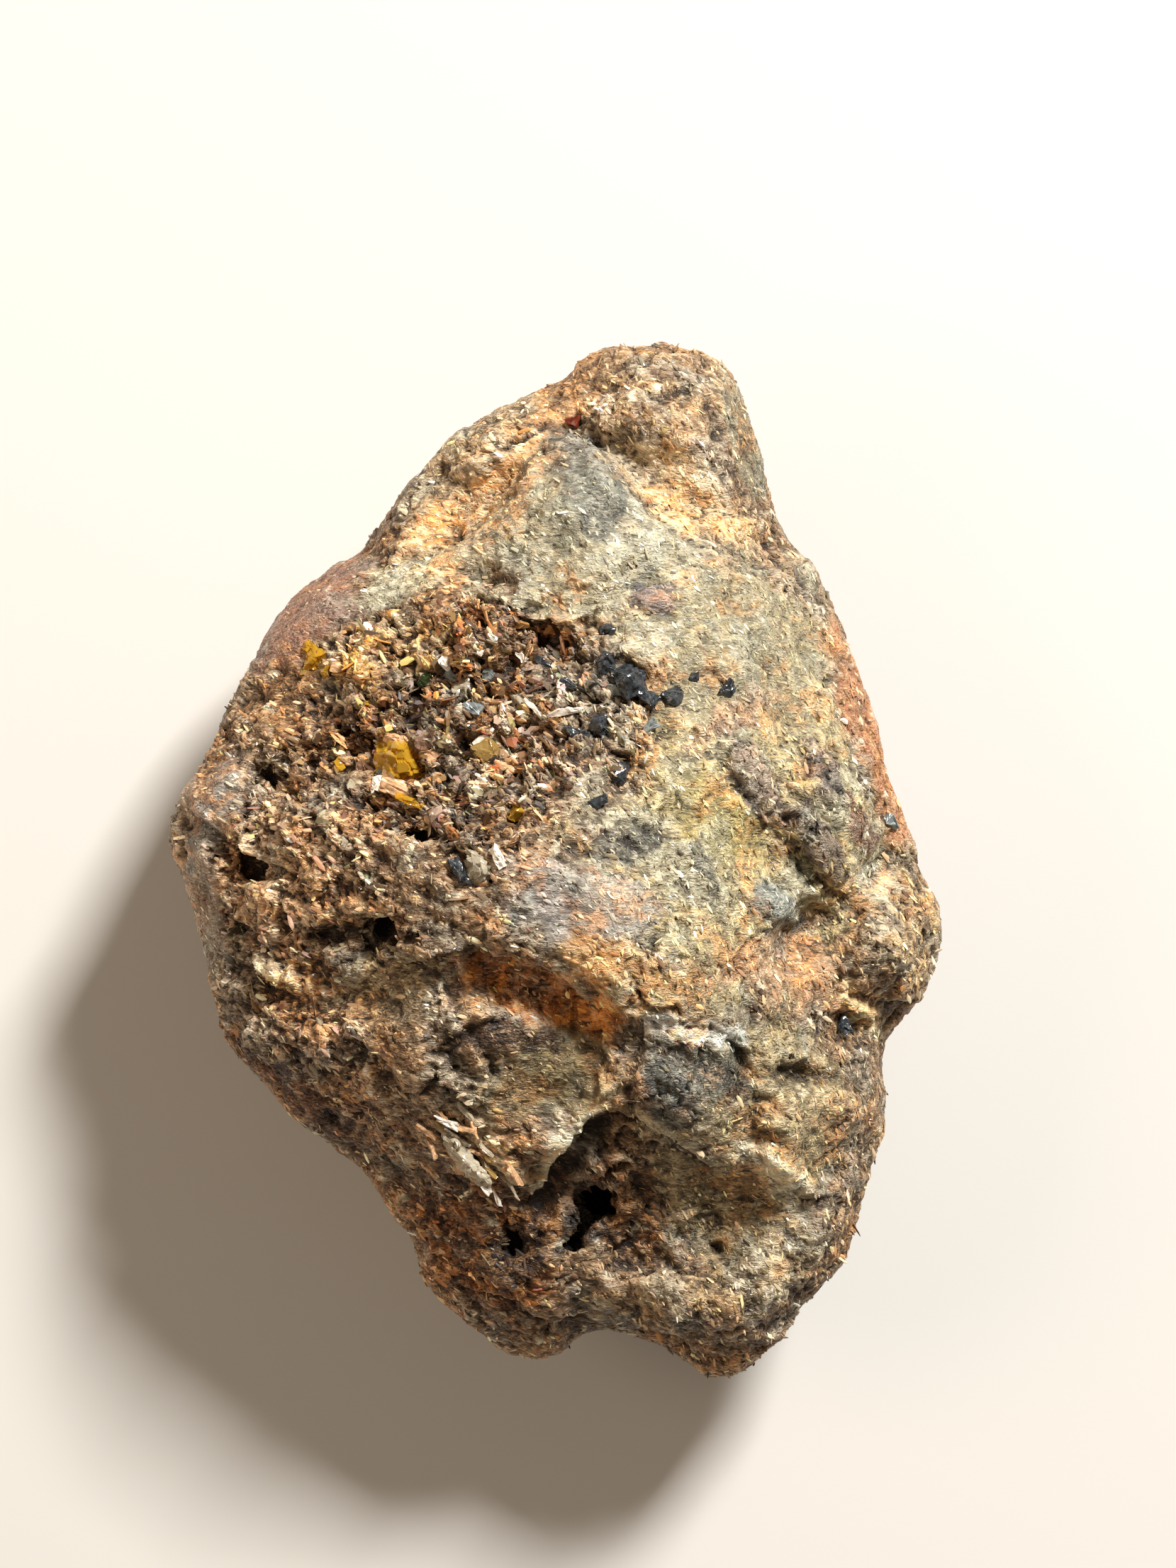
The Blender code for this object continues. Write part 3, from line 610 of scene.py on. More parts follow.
PORES = (
    Swell("upper_pore", Oval(-3.7, 12.6, 0.34, 0.24, 20), -0.7, 0.1),
    Swell("middle_pore", Oval(-3.5, 11.4, 0.42, 0.3, -20), -0.7, 0.1),
    Swell("valley_pore", Oval(1.1, 20.5, 0.34, 0.22, 40), -0.5, 0.1),
    Swell("amber_pore", Oval(-8.3, 6.9, 1.0, 0.45, 35), -0.8, 0.1),
    Swell("amber_pore_left", Oval(-9.6, 5.4, 0.6, 0.3, -10), -0.6, 0.1),
    Swell("amber_pore_right", Oval(-4.4, 5.9, 0.35, 0.5, 30), -0.8, 0.1),
    Swell("amber_pore_below", Oval(-6.8, 2.6, 0.8, 0.35, 30), -0.8, 0.1),
    Swell("honey_pore", Oval(-2.2, 4.5, 0.9, 0.3, -15), -0.6, 0.1),
    Swell("dark_slot", Oval(-1.5, 6.5, 1.2, 0.35, -20), -0.7, 0.1),
    Swell("grey_pore", Oval(-3.6, 9.8, 0.6, 0.4, 10), -0.6, 0.1),
    Swell("cavity_pore_low", Oval(-6.4, 1.5, 0.7, 0.45, -5), -1.2, 0.2),
    Swell("cavity_pore_arm", Oval(-6.9, 1.9, 0.35, 0.6, 10), -0.9, 0.2),
    Swell("left_pore", Oval(-13.6, 4.1, 1.2, 0.45, -30), -1.0, 0.1),
    Swell("left_pore_foot", Oval(-12.7, 3.5, 0.5, 0.5), -0.8, 0.1),
    Swell("left_pore_upper", Oval(-11.6, 5.6, 0.5, 0.35, 10), -0.6, 0.1),
    Swell("left_slot", Oval(-14.9, -0.35, 1.6, 0.36, -10), -0.6, 0.2),
    Swell("left_slot_end", Oval(-13.9, -0.5, 0.45, 0.25, -10), -0.5, 0.2),
    Swell("bowl_pore", Oval(-7.9, -3.2, 1.25, 0.45, -8), -1.1, 0.3),
    Swell("bowl_pore_foot", Oval(-8.8, -4.2, 0.8, 0.6, 40), -0.5, 0.1),
    Swell("bowl_pore_left", Oval(-10.6, -3.6, 0.6, 0.35, 0), -0.7, 0.1),
    Swell("splinter_pore", Oval(-5.2, -12.3, 0.6, 0.3, -50), -0.6, 0.1),
    Swell("foot_pore", Oval(-2.1, -17.7, 0.4, 0.7, 20), -0.5, 0.2),
    Swell("black_hole", Oval(2.0, -16.1, 1.35, 0.95, 62), -2.4, 0.45),
    Swell("black_hole_arm", Oval(1.0, -17.9, 1.0, 0.35, 66), -1.3, 0.3),
    Swell("black_shelf_pore", Oval(2.0, 7.9, 0.9, 0.3, -5), -0.7, 0.1),
    Swell("black_shelf_pore_right", Oval(3.7, 7.7, 0.6, 0.3, 0), -0.7, 0.1),
    Swell("plate_pore", Oval(7.6, -18.4, 0.4, 0.3), -0.5, 0.1),
)

# Hollows under the crystals, so that their glass is deep enough to colour what is seen through it
CRYSTAL_BEDS = (
    Swell("amber_large_bed", Oval(-7.4, 4.8, 1.2, 0.9, 20), -1.3, 0.5),
    Swell("amber_small_bed", Oval(-1.9, 2.4, 0.5, 0.4, 60), -0.7, 0.4),
    Swell("amber_left_bed", Oval(-11.5, 9.8, 0.65, 0.4, 70), -0.6, 0.4),
    Swell("honey_bed", Oval(-3.1, 5.3, 0.7, 0.5, -40), -0.9, 0.4),
    Swell("clear_large_bed", Oval(-3.6, -0.3, 0.85, 0.6, -55), -0.9, 0.4),
    Swell("clear_upper_bed", Oval(-4.2, 8.4, 0.75, 0.5, 25), -0.7, 0.4),
    Swell("clear_middle_bed", Oval(-1.8, 7.6, 0.65, 0.45, -15), -0.7, 0.4),
    Swell("splinter_bed", Oval(-4.2, -14.0, 1.5, 0.3, -50), -0.5, 0.4),
)


@dataclass
class Points:
    """The places of a mesh's vertices, in millimetres, and their normals."""

    places: np.ndarray
    normals: np.ndarray

    @classmethod
    def of(cls, mesh: bpy.types.Mesh) -> "Points":
        """The points of a mesh in metres."""
        places = np.empty(len(mesh.vertices) * 3)
        normals = np.empty(len(mesh.vertices) * 3)
        mesh.vertices.foreach_get("co", places)
        mesh.vertex_normals.foreach_get("vector", normals)
        return cls(places.reshape(-1, 3) / MM, normals.reshape(-1, 3))


@dataclass
class Kinds:
    """What kind of crust each of many points has.

    Attributes:
        tint: Its linear colour, before the painted shade in its dips and the painted highlight where it
            stands proud.
        fleck: The linear colour of its blotches.
        rough: How crumbly it is, from 0 to 1.
        pores: How full of holes, from 0 to 1.
        wear: Above 0 where it stands proud and below 0 in a dip; it sets both the rubbed and oxide look and
            the painted shade and highlight.
    """

    tint: np.ndarray
    fleck: np.ndarray
    rough: np.ndarray
    pores: np.ndarray
    wear: np.ndarray

    def between(self, corners: np.ndarray) -> "Kinds":
        """The mean kind of each triangle, from three point numbers for each."""
        return Kinds(*(values[corners].mean(axis=1) for values in vars(self).values()))


@dataclass
class Surface:
    """A carved mesh's shape and kinds, for grains to lie in.

    Attributes:
        places: The vertices, in millimetres.
        triangles: Three vertex numbers for each triangle.
        kinds: The vertices' kinds.
    """

    places: np.ndarray
    triangles: np.ndarray
    kinds: Kinds

    @classmethod
    def of(cls, mesh: bpy.types.Mesh, kinds: Kinds) -> "Surface":
        """The surface of a mesh."""
        mesh.calc_loop_triangles()
        triangles = np.empty(len(mesh.loop_triangles) * 3, dtype=np.int32)
        mesh.loop_triangles.foreach_get("vertices", triangles)
        return cls(Points.of(mesh).places, triangles.reshape(-1, 3), kinds)


@dataclass
class Spots:
    """Places on a surface for grains, with one row or value for each grain.

    Attributes:
        place: The place, in millimetres.
        normal: The way that the surface faces.
        kinds: The surface's kind there.
    """

    place: np.ndarray
    normal: np.ndarray
    kinds: Kinds


def mesh_object(name: str, corners: np.ndarray, triangles: np.ndarray) -> bpy.types.Object:
    """An object from many triangles, in the scene.

    Args:
        name: Its name.
        corners: Its corners, in millimetres.
        triangles: Three corner numbers for each triangle.

    Returns:
        The object.
    """
    mesh = bpy.data.meshes.new(name)
    mesh.vertices.add(len(corners))
    mesh.vertices.foreach_set("co", (corners * MM).astype(np.float32).ravel())
    mesh.loops.add(triangles.size)
    mesh.loops.foreach_set("vertex_index", triangles.astype(np.int32).ravel())
    mesh.polygons.add(len(triangles))
    mesh.polygons.foreach_set("loop_start", np.arange(0, triangles.size, 3, dtype=np.int32))
    mesh.update(calc_edges=True)
    mesh.validate()
    mesh.shade_flat()
    obj = bpy.data.objects.new(name, mesh)
    bpy.context.scene.collection.objects.link(obj)
    return obj


def deselect_all() -> None:
    """Leave object mode's selection empty."""
    bpy.ops.object.select_all(action="DESELECT")


def make_active(obj: bpy.types.Object) -> None:
    """Select obj alone and make it active."""
    deselect_all()
    obj.select_set(True)
    bpy.context.view_layer.objects.active = obj


@contextmanager
def edit_mode() -> Iterator[None]:
    """Edit the active object with all of it selected, and go back to object mode at the end."""
    bpy.ops.object.mode_set(mode="EDIT")
    bpy.ops.mesh.select_all(action="SELECT")
    yield
    bpy.ops.object.mode_set(mode="OBJECT")


def cut_flat(planes: list[Plane]) -> None:
    """Cut the active object flat at each plane and close the cut.

    Args:
        planes: For each cut a point on it and the way that faces off the object.
    """
    with edit_mode():
        for point, normal in planes:
            bpy.ops.mesh.select_all(action="SELECT")
            bpy.ops.mesh.bisect(plane_co=point, plane_no=normal, use_fill=True, clear_outer=True)


def copy_solid(node: bpy.types.Object, name: str) -> bpy.types.Object:
    """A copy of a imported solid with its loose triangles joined, in the scene, alone selected and active."""
    piece = bpy.data.objects.new(name, node.data.copy())
    bpy.context.scene.collection.objects.link(piece)
    make_active(piece)
    with edit_mode():
        bpy.ops.mesh.remove_doubles(threshold=0.001 * MM)
    return piece


def random_planes(rng: np.random.Generator, count: int, low: float, high: float) -> list[Plane]:
    """Planes round the origin, each from low to high away from it, that face every way."""
    planes = []
    for _ in range(count):
        way = Vector(rng.normal(0.0, 1.0, 3)).normalized()
        planes.append((way * rng.uniform(low, high), way))
    return planes


def apply_modifier(obj: bpy.types.Object, kind: str, **settings: object) -> None:
    """Add a modifier with its settings and apply it.

    Args:
        obj: The object it shapes.
        kind: Blender's name for the modifier.
        **settings: Its settings.
    """
    make_active(obj)
    modifier = obj.modifiers.new(kind.title(), kind)
    for name, value in settings.items():
        setattr(modifier, name, value)
    bpy.ops.object.modifier_apply(modifier=modifier.name)


def facet(piece: bpy.types.Object, noise: RockNoise, size: float, relief: float, levels: int) -> None:
    """Break an object's faces up in small facets.

    Args:
        piece: The object, with its place in its mesh.
        noise: The noise that tilts them.
        size: The facets' size, in millimetres.
        relief: How far they stand out, in millimetres.
        levels: How many times each face is divided first.
    """
    apply_modifier(piece, "TRIANGULATE")
    apply_modifier(piece, "SUBSURF", subdivision_type="SIMPLE", levels=levels)
    points = Points.of(piece.data)
    tilt = noise.cells(points.places, size).tilt
    moved = points.places + points.normals * (relief * tilt)[:, None]
    piece.data.vertices.foreach_set("co", (moved * MM).ravel())
    piece.data.update()


def store(mesh: bpy.types.Mesh, name: str, values: np.ndarray) -> None:
    """Keep a number or a linear colour for each vertex, for a material to read.

    Args:
        mesh: The mesh.
        name: The attribute's name.
        values: One number, or one row of red, green and blue, for each vertex.
    """
    if values.ndim == 1:
        layer = mesh.attributes.new(name, "FLOAT", "POINT")
        layer.data.foreach_set("value", values.astype(np.float32))
    else:
        layer = mesh.color_attributes.new(name, "FLOAT_COLOR", "POINT")
        opaque = np.concatenate([values, np.ones((len(values), 1))], axis=1)
        layer.data.foreach_set("color", opaque.astype(np.float32).ravel())


class Shading:
    """A new material, with short ways to add its nodes.

    Attributes:
        material: The material.
        tree: Its node tree.
    """

    def __init__(self, name: str) -> None:
        """Start the material called name."""
        self.material = bpy.data.materials.new(name)
        self.material.use_nodes = True
        self.tree = self.material.node_tree

    def fill(self, node: bpy.types.Node, inputs: dict[str | int, object]) -> None:
        """Set a node's inputs.

        Args:
            node: The node.
            inputs: For each input's name or number, its value or the socket that it is linked from.
        """
        for name, value in inputs.items():
            if isinstance(value, Socket):
                self.tree.links.new(value, node.inputs[name])
            else:
                node.inputs[name].default_value = value

    def node(self, kind: str, inputs: dict[str | int, object], **settings: object) -> bpy.types.Node:
        """Add a shader node.

        Args:
            kind: Blender's name for it, without ShaderNode.
            inputs: Its inputs, as fill takes them.
            **settings: Its own settings.

        Returns:
            The new node.
        """
        node = self.tree.nodes.new(f"ShaderNode{kind}")
        for name, value in settings.items():
            setattr(node, name, value)
        self.fill(node, inputs)
        return node

    def attribute(self, name: str, output: str = "Color") -> Socket:
        """What the mesh keeps under name at each point."""
        return self.node("Attribute", {}, attribute_name=name).outputs[output]

    def place(self) -> Socket:
        """The place on the object, in metres."""
        return self.node("TexCoord", {}).outputs["Object"]

    def noise(self, place: Socket, scale: float, detail: float, roughness: float) -> Socket:
        """Noise from 0 to 1, with scale lumps to a metre and detail finer layers of that roughness."""
        inputs = {"Vector": place, "Scale": scale, "Detail": detail, "Roughness": roughness}
        return self.node("TexNoise", inputs).outputs["Fac"]

    def maths(self, operation: str, *values: object) -> Socket:
        """The values put together by one of Blender's operations."""
        return self.node("Math", dict(enumerate(values)), operation=operation).outputs[0]

    def ramp(self, value: Socket, start: float, end: float, low: float, high: float) -> Socket:
        """low where the value is at start, high where it is at end, and an even change between."""
        inputs = {"Value": value, "From Min": start, "From Max": end, "To Min": low, "To Max": high}
        return self.node("MapRange", inputs).outputs["Result"]

    def mixed(self, share: object, first: object, second: object, blend_type: str = "MIX") -> Socket:
        """The first colour, changed by its share towards the second as blend_type says."""
        inputs = {0: share, 6: first, 7: second}
        return self.node("Mix", inputs, data_type="RGBA", blend_type=blend_type).outputs[2]

    def bump(self, height: Socket, strength: float, depth_mm: float) -> Socket:
        """The normals of a skin that rises and falls with the height."""
        inputs = {"Height": height, "Strength": strength, "Distance": depth_mm * MM}
        return self.node("Bump", inputs).outputs["Normal"]

    def finish(self, inputs: dict[str | int, object]) -> bpy.types.Material:
        """Set the inputs of the Principled BSDF node and hand over the material."""
        self.fill(self.tree.nodes["Principled BSDF"], inputs)
        return self.material


@dataclass(frozen=True)
class WeatheredCrust:
    """Weathered iron-nickel, rusted and rubbed by hand: a dull stone-like skin with pale and dark grains.

    Attributes:
        grain_mm: The size of the skin's grains.
        cream: The cast of the pale grains.
        oxide: The dark grains' colour.
    """

    grain_mm: float = 0.16
    cream: str = "#fffaf0"
    oxide: str = "#26180c"

    def material(self) -> bpy.types.Material:
        """The crust's material, which reads the attributes tint and fleck, both with painted shade, and wear
        and side.
        """
        skin = Shading("weathered_iron_crust")
        tint, fleck = skin.attribute("tint"), skin.attribute("fleck")
        wear, side = skin.attribute("wear", "Fac"), skin.attribute("side", "Fac")
        place = skin.place()
        # The grains lie in streaks three times as long as they are wide
        streaks = [
            skin.node(
                "Mapping",
                {"Vector": place, "Rotation": (0.0, 0.0, math.radians(turn)), "Scale": (0.33, 1.0, 1.0)},
            ).outputs["Vector"]
            for turn in (-STREAK_LEFT, -STREAK_RIGHT)
        ]

        def streaked(scale: float, detail: float) -> Socket:
            """Noise along the one streak on the nugget's left and along the other on its right."""
            left, right = (skin.noise(streak, scale, detail, 0.65) for streak in streaks)
            return skin.node("Mix", {0: side, 2: left, 3: right}, data_type="FLOAT").outputs[0]

        per_metre = 1 / (self.grain_mm * MM)
        fine, specks = streaked(per_metre, 3.0), streaked(per_metre * 1.7, 2.0)
        # Pale grains gather where the crust stands proud, partly rubbed and partly a painted highlight, and
        # dark oxide in its dips, partly a painted shade
        pale = skin.ramp(skin.maths("MULTIPLY_ADD", wear, 0.10, specks), 0.5, 0.66, 0.0, 0.9)
        dark = skin.ramp(skin.maths("MULTIPLY_ADD", wear, 0.12, fine), 0.49, 0.30, 0.0, 0.92)
        # Lighter and darker blotches, and streaky ones of the fleck's colour about 0.4 mm wide
        blotched = skin.ramp(skin.noise(place, per_metre * 0.24, 4.0, 0.7), 0.3, 0.7, 0.72, 1.25)
        fleck_share = skin.ramp(streaked(per_metre * 0.4, 4.0), 0.47, 0.57, 0.0, 0.85)
        toned = skin.mixed(1.0, skin.mixed(fleck_share, tint, fleck), blotched, "MULTIPLY")
        with_dark = skin.mixed(dark, toned, linear(self.oxide))
        bleached = skin.node("Gamma", {"Color": toned, "Gamma": 0.5}).outputs["Color"]
        cream = skin.mixed(1.0, bleached, linear(self.cream), "MULTIPLY")
        # Pale grains are broken mineral with a glint, the rest is dull oxide
        return skin.finish(
            {
                "Base Color": skin.mixed(pale, with_dark, cream),
                "Roughness": skin.ramp(pale, 0.0, 1.0, 0.6, 0.32),
                "Normal": skin.bump(skin.maths("ADD", fine, specks), 1.0, 0.12),
            }
        )


@dataclass
class CrustBody:
    """The lump of metal, rust and broken grains.

    Attributes:
        voxel_mm: The mesh's cell size on the top and sides.
        keep_share: The share of faces kept when the underside is thinned.
        rim_mm: How far outside a crystal the crust's level round its socket is taken.
        plug_mm: How far a socket's plug reaches past its crystal.
        plug_deep_mm: Half the height of a plug.
        plug_sunk_mm: How far below the crust a plug ends.
        seed: The seed of its noise.
        surface: The carved crust, once it is built.
    """

    voxel_mm: float = 0.185
    keep_share: float = 0.62
    rim_mm: float = 0.75
    plug_mm: float = 0.55
    plug_deep_mm: float = 1.3
    plug_sunk_mm: float = 0.12
    seed: int = 11
    surface: Surface | None = None

    def build(self, node: bpy.types.Object, crystals: list[str]) -> bpy.types.Object:
        """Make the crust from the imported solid.

        Args:
            node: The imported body.
            crystals: The names of the crystals whose sockets it closes.

        Returns:
            The crust.
        """
        crust = copy_solid(node, "crust")
        self.fill_sockets(crust, crystals)
        self.even_out(crust)
        self.carve(crust)
        crust.data.materials.clear()
        crust.data.materials.append(WeatheredCrust().material())
        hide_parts(node.name)
        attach(crust, "root")
        return crust

    def fill_sockets(self, crust: bpy.types.Object, crystals: list[str]) -> None:
        """Plug each crystal's socket, so that the crust closes round the crystal.

        Args:
            crust: The crust.
            crystals: The crystals' names.
        """
        tree = BVHTree.FromObject(crust, bpy.context.evaluated_depsgraph_get())
        plugs = []
        for name in crystals:
            low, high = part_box(name)
            middle = (low + high) / 2
            reach = max(high.x - low.x, high.y - low.y) / 2 + self.rim_mm * MM
            rim = []
            for step in range(16):
                angle = math.tau * step / 16
                x, y = middle.x + reach * math.cos(angle), middle.y + reach * math.sin(angle)
                rim.append(tree.ray_cast(Vector((x, y, 0.05)), Vector((0, 0, -1)))[0])
            flat = np.array([(p.x, p.y, 1.0) for p in rim])
            slope_x, slope_y, level = np.linalg.lstsq(flat, np.array([p.z for p in rim]), rcond=None)[0]
            up = Vector((-slope_x, -slope_y, 1.0)).normalized()
            top = Vector((middle.x, middle.y, slope_x * middle.x + slope_y * middle.y + level))
            gap = self.plug_mm * MM
            size = Vector(((high.x - low.x) / 2 + gap, (high.y - low.y) / 2 + gap, self.plug_deep_mm * MM))
            deselect_all()
            sunk = top - up * (size.z + self.plug_sunk_mm * MM)
            bpy.ops.mesh.primitive_cylinder_add(vertices=24, radius=1.0, depth=2.0, location=sunk, scale=size)
            plug = bpy.context.object
            plug.rotation_mode = "QUATERNION"
            plug.rotation_quaternion = up.to_track_quat("Z", "Y")
            plugs.append(plug)
        make_active(crust)
        for plug in plugs:
            plug.select_set(True)
        bpy.ops.object.join()

    def even_out(self, crust: bpy.types.Object) -> None:
        """Lay the surface out in even cells, smooth away the solid's facets and thin the underside."""
        apply_modifier(crust, "REMESH", mode="VOXEL", voxel_size=self.voxel_mm * MM, use_smooth_shade=True)
        apply_modifier(crust, "SMOOTH", factor=0.5, iterations=18)
        points = Points.of(crust.data)
        under = smoothstep(0.2, 0.6, -points.normals[:, 2]) * (points.places[:, 2] < 9.0)
        group = crust.vertex_groups.new(name="under")
        for level in range(1, 5):
            chosen = np.nonzero((under > (level - 1) / 4) & (under <= level / 4))[0]
            group.add(chosen.tolist(), level / 4, "REPLACE")
        apply_modifier(crust, "DECIMATE", ratio=self.keep_share, vertex_group="under")
        LOG.info("crust: %d vertices, %d faces", len(crust.data.vertices), len(crust.data.polygons))

    def kinds(self, points: Points, noise: RockNoise) -> Kinds:
        """What kind of crust each point has, with its wear and painted shade still at zero.

        Args:
            points: The crust's points.
            noise: The noise that frays the zones' edges.

        Returns:
            The kinds.
        """
        places = points.places
        broad = 0.42 * noise.layers(places, 3.0, 5, 0.65)
        narrow = 0.42 * RockNoise(13).layers(places, 1.0, 3, 0.7)
        upper = smoothstep(-0.25, 0.25, points.normals[:, 2])
        tint = np.tile(colour(UNDER_TINT), (len(places), 1))
        blend(tint, upper, colour(BASE_TINT))
        fleck = np.tile(colour(BASE_FLECK), (len(places), 1))
        flecked, rough, pores = (np.full(len(places), level) for level in (0.45, 0.6, 0.15))
        for zone in ZONES:
            fray = narrow if zone.oval.half_wide < 1.05 else broad
            share = zone.share * (1 - smoothstep(0.7, 1.15, zone.oval.radius(places) + fray)) * upper
            blend(tint, share, colour(zone.tint))
            blend(fleck, share, colour(zone.fleck))
            blend(flecked, share, zone.flecked)
            blend(rough, share, zone.rough)
            blend(pores, share, zone.pores)
        blend(fleck, (1 - smoothstep(0.1, 0.75, rough)) * 0.5, tint)
        self.mottle(places, tint, fleck, flecked, 0.4 + 0.6 * crumbling(rough))
        self.tone_flakes(places, tint, pores)
        return Kinds(tint, fleck, rough, pores, np.zeros(len(places)))

    def mottle(
        self,
        places: np.ndarray,
        tint: np.ndarray,
        fleck: np.ndarray,
        flecked: np.ndarray,
        strength: np.ndarray,
    ) -> None:
        """Blotch and speckle the tint.

        Args:
            places: The points, in millimetres.
            tint: Each point's linear colour, which is changed.
            fleck: The colour of its blotches.
            flecked: How much the blotches cover.
            strength: How strong the blotches and specks are.
        """
        loose = RockNoise(83).warped(places, 1.2, 0.6)
        blotch = 0.5 + 0.34 * RockNoise(89).layers(loose, 1.4, 4, 0.8)
        blotch += 0.25 * RockNoise(91).streaks(loose, right_share(places), 0.9, 3) - 0.05
        blend(tint, 0.8 * strength * smoothstep(0.0, 0.3, blotch - 0.85 + 0.7 * flecked), fleck)
        stain = RockNoise(107).layers(loose, 3.4, 4, 0.65)
        for side_of, hex_colour in STAINS:
            level = tint.mean(axis=1) / colour(hex_colour).mean()
            blend(tint, 0.5 * smoothstep(0.1, 0.5, side_of * stain), colour(hex_colour) * level[:, None])
        for seed, size, limit, hex_colour in SPECKS:
            cells = RockNoise(seed).cells(loose, size)
            speck = 0.8 * strength * (cells.mark > limit) * (1 - smoothstep(0.2, 0.5, cells.near))
            blend(tint, speck, colour(hex_colour))
        tint *= (1 + 0.3 * RockNoise(103).layers(places, 0.7, 2, 0.7))[:, None]

    def tone_flakes(self, places: np.ndarray, tint: np.ndarray, pores: np.ndarray) -> None:
        """Give each flake in a broken stretch of crust its own tone.

        Args:
            places: The points, in millimetres.
            tint: Each point's linear colour, which is changed.
            pores: How full of holes it is.
        """
        broken = 0.75 * broken_up(pores)
        loose = flake_places(places)
        for (seed, size, _), spread in zip(FLAKE_LAYERS, FLAKE_SPREADS):
            # The tone is the flake's mark shuffled, because the mark sets its height
            tone = (RockNoise(seed).cells(loose, size).mark * 7.31) % 1
            tint *= np.exp(spread * broken * (tone - 0.5))[:, None]
            for low, hex_colour in FLAKE_CASTS:
                blend(tint, 0.55 * broken * ((tone > low) & (tone < low + 0.12)), colour(hex_colour))

    def carve(self, crust: bpy.types.Object) -> None:
        """Give the surface its relief, and keep its tint and wear for the material."""
        mesh = crust.data
        noise = RockNoise(self.seed)
        points = Points.of(mesh)
        places = points.places
        kinds = self.kinds(points, noise)
        rough, pores = kinds.rough, kinds.pores
        loose = flake_places(places)
        side = right_share(places)
        rise = 0.16 * noise.layers(loose, 4.6, 2)
        rise += (0.02 + 0.13 * rough) * RockNoise(23).layers(loose, 2.6, 5, 0.6)
        drawn = RockNoise(19).warped(places, 3.4, 0.5)
        rise += 0.16 * rough * RockNoise(29).streaks(drawn, side, 1.7, 5)
        rise += 0.25 * rough * RockNoise(33).streaks(drawn, side, 4.2, 2)
        for seed, size, height in FACE_LAYERS:
            rise += height * rough * RockNoise(seed).cells(loose, size).tilt
        # Flaky scales, each a little higher or lower than the next
        rise += 0.09 * rough * (RockNoise(47).cells(loose, 0.55).mark - 0.5)
        rise += (0.02 + 0.06 * rough) * RockNoise(53).layers(places, 0.45, 2, 0.8)
        # Broken flakes where the crust is full of holes, each with its own height and lean
        for seed, size, height in FLAKE_LAYERS:
            flake = RockNoise(seed).cells(loose, size)
            rise += height * broken_up(pores) * (flake.mark - 0.5 + 0.9 * flake.tilt)
        # Torn crevices there
        torn = 1 - smoothstep(0.0, 0.16, np.abs(RockNoise(59).layers(loose, 2.2, 4, 0.6)))
        rise -= 0.5 * pores * torn * smoothstep(-0.1, 0.3, RockNoise(57).layers(places, 2.0, 2))
        for seed, size, depth, count in HOLE_LAYERS:
            hole = RockNoise(seed).cells(loose, size)
            rise -= depth * (hole.mark > 1 - count * pores) * (1 - smoothstep(0.0, 0.5, hole.near))
        # The handled rim is worn smoother
        rise *= 0.5 + 0.5 * smoothstep(0.0, 0.5, np.abs(points.normals[:, 2]))
        wobble = 0.16 * RockNoise(71).layers(places, 1.1, 3)
        upper = smoothstep(0.0, 0.3, points.normals[:, 2])
        for break_line in (*LEDGES, *CRACKS):
            rise -= upper * break_line.fall(places, wobble)
        ragged = 0.75 * RockNoise(79).layers(places, 0.9, 3, 0.7)
        frayed = 0.35 * RockNoise(77).layers(places, 0.9, 3, 0.7)
        for swells, fray in ((SWELLS, frayed), (PORES, ragged), (CRYSTAL_BEDS, 0.2 * ragged)):
            for swell in swells:
                rise += upper * swell.rise(places, fray)
        rise *= smoothstep(0.0, 1.0, places[:, 2])
        moved = places + points.normals * rise[:, None]
        moved[:, 2] = np.maximum(moved[:, 2], 0.0)
        mesh.vertices.foreach_set("co", (moved * MM).ravel())
        mesh.update()
        self.keep_wear_and_shade(mesh, kinds)
        store(mesh, "side", side)
        self.surface = Surface.of(mesh, kinds)

    def keep_wear_and_shade(self, mesh: bpy.types.Mesh, kinds: Kinds) -> None:
        """Work out which places stand proud and which lie in a dip, and paint shade into the tint in the dips
        and highlight where it stands proud.

        Args:
            mesh: The carved mesh.
            kinds: The vertices' kinds, which get their wear and painted shade.
        """
        points = Points.of(mesh)
        edges = np.empty(len(mesh.edges) * 2, dtype=np.int64)
        mesh.edges.foreach_get("vertices", edges)
        first, last = edges.reshape(-1, 2).T
        calm = points.places.copy()
        count = np.bincount(first, minlength=len(calm)) + np.bincount(last, minlength=len(calm))
        wear = np.zeros(len(calm))
        for step in range(1, max(WEAR_AND_SHADE_SCALES) + 1):
            total = np.zeros_like(calm)
            for axis in range(3):
                total[:, axis] += np.bincount(first, weights=calm[last, axis], minlength=len(calm))
                total[:, axis] += np.bincount(last, weights=calm[first, axis], minlength=len(calm))
            calm = 0.3 * calm + 0.7 * total / count[:, None]
            if step in WEAR_AND_SHADE_SCALES:
                proud = np.einsum("ij,ij->i", points.places - calm, points.normals)
                wear += proud / WEAR_AND_SHADE_SCALES[step]
        kinds.wear = np.clip(wear / 2, -1.6, 1.3) * (0.45 + 0.55 * crumbling(kinds.rough))
        # Painted shade and highlight: the tint and fleck are darkened in the dips and lightened where the
        # crust stands proud
        shade = np.clip(1 + 0.42 * kinds.wear, 0.22, 1.6)[:, None]
        store(mesh, "tint", np.clip(kinds.tint * shade, 0.0, 1.0))
        store(mesh, "fleck", np.clip(kinds.fleck * shade, 0.0, 1.0))
        store(mesh, "wear", kinds.wear)


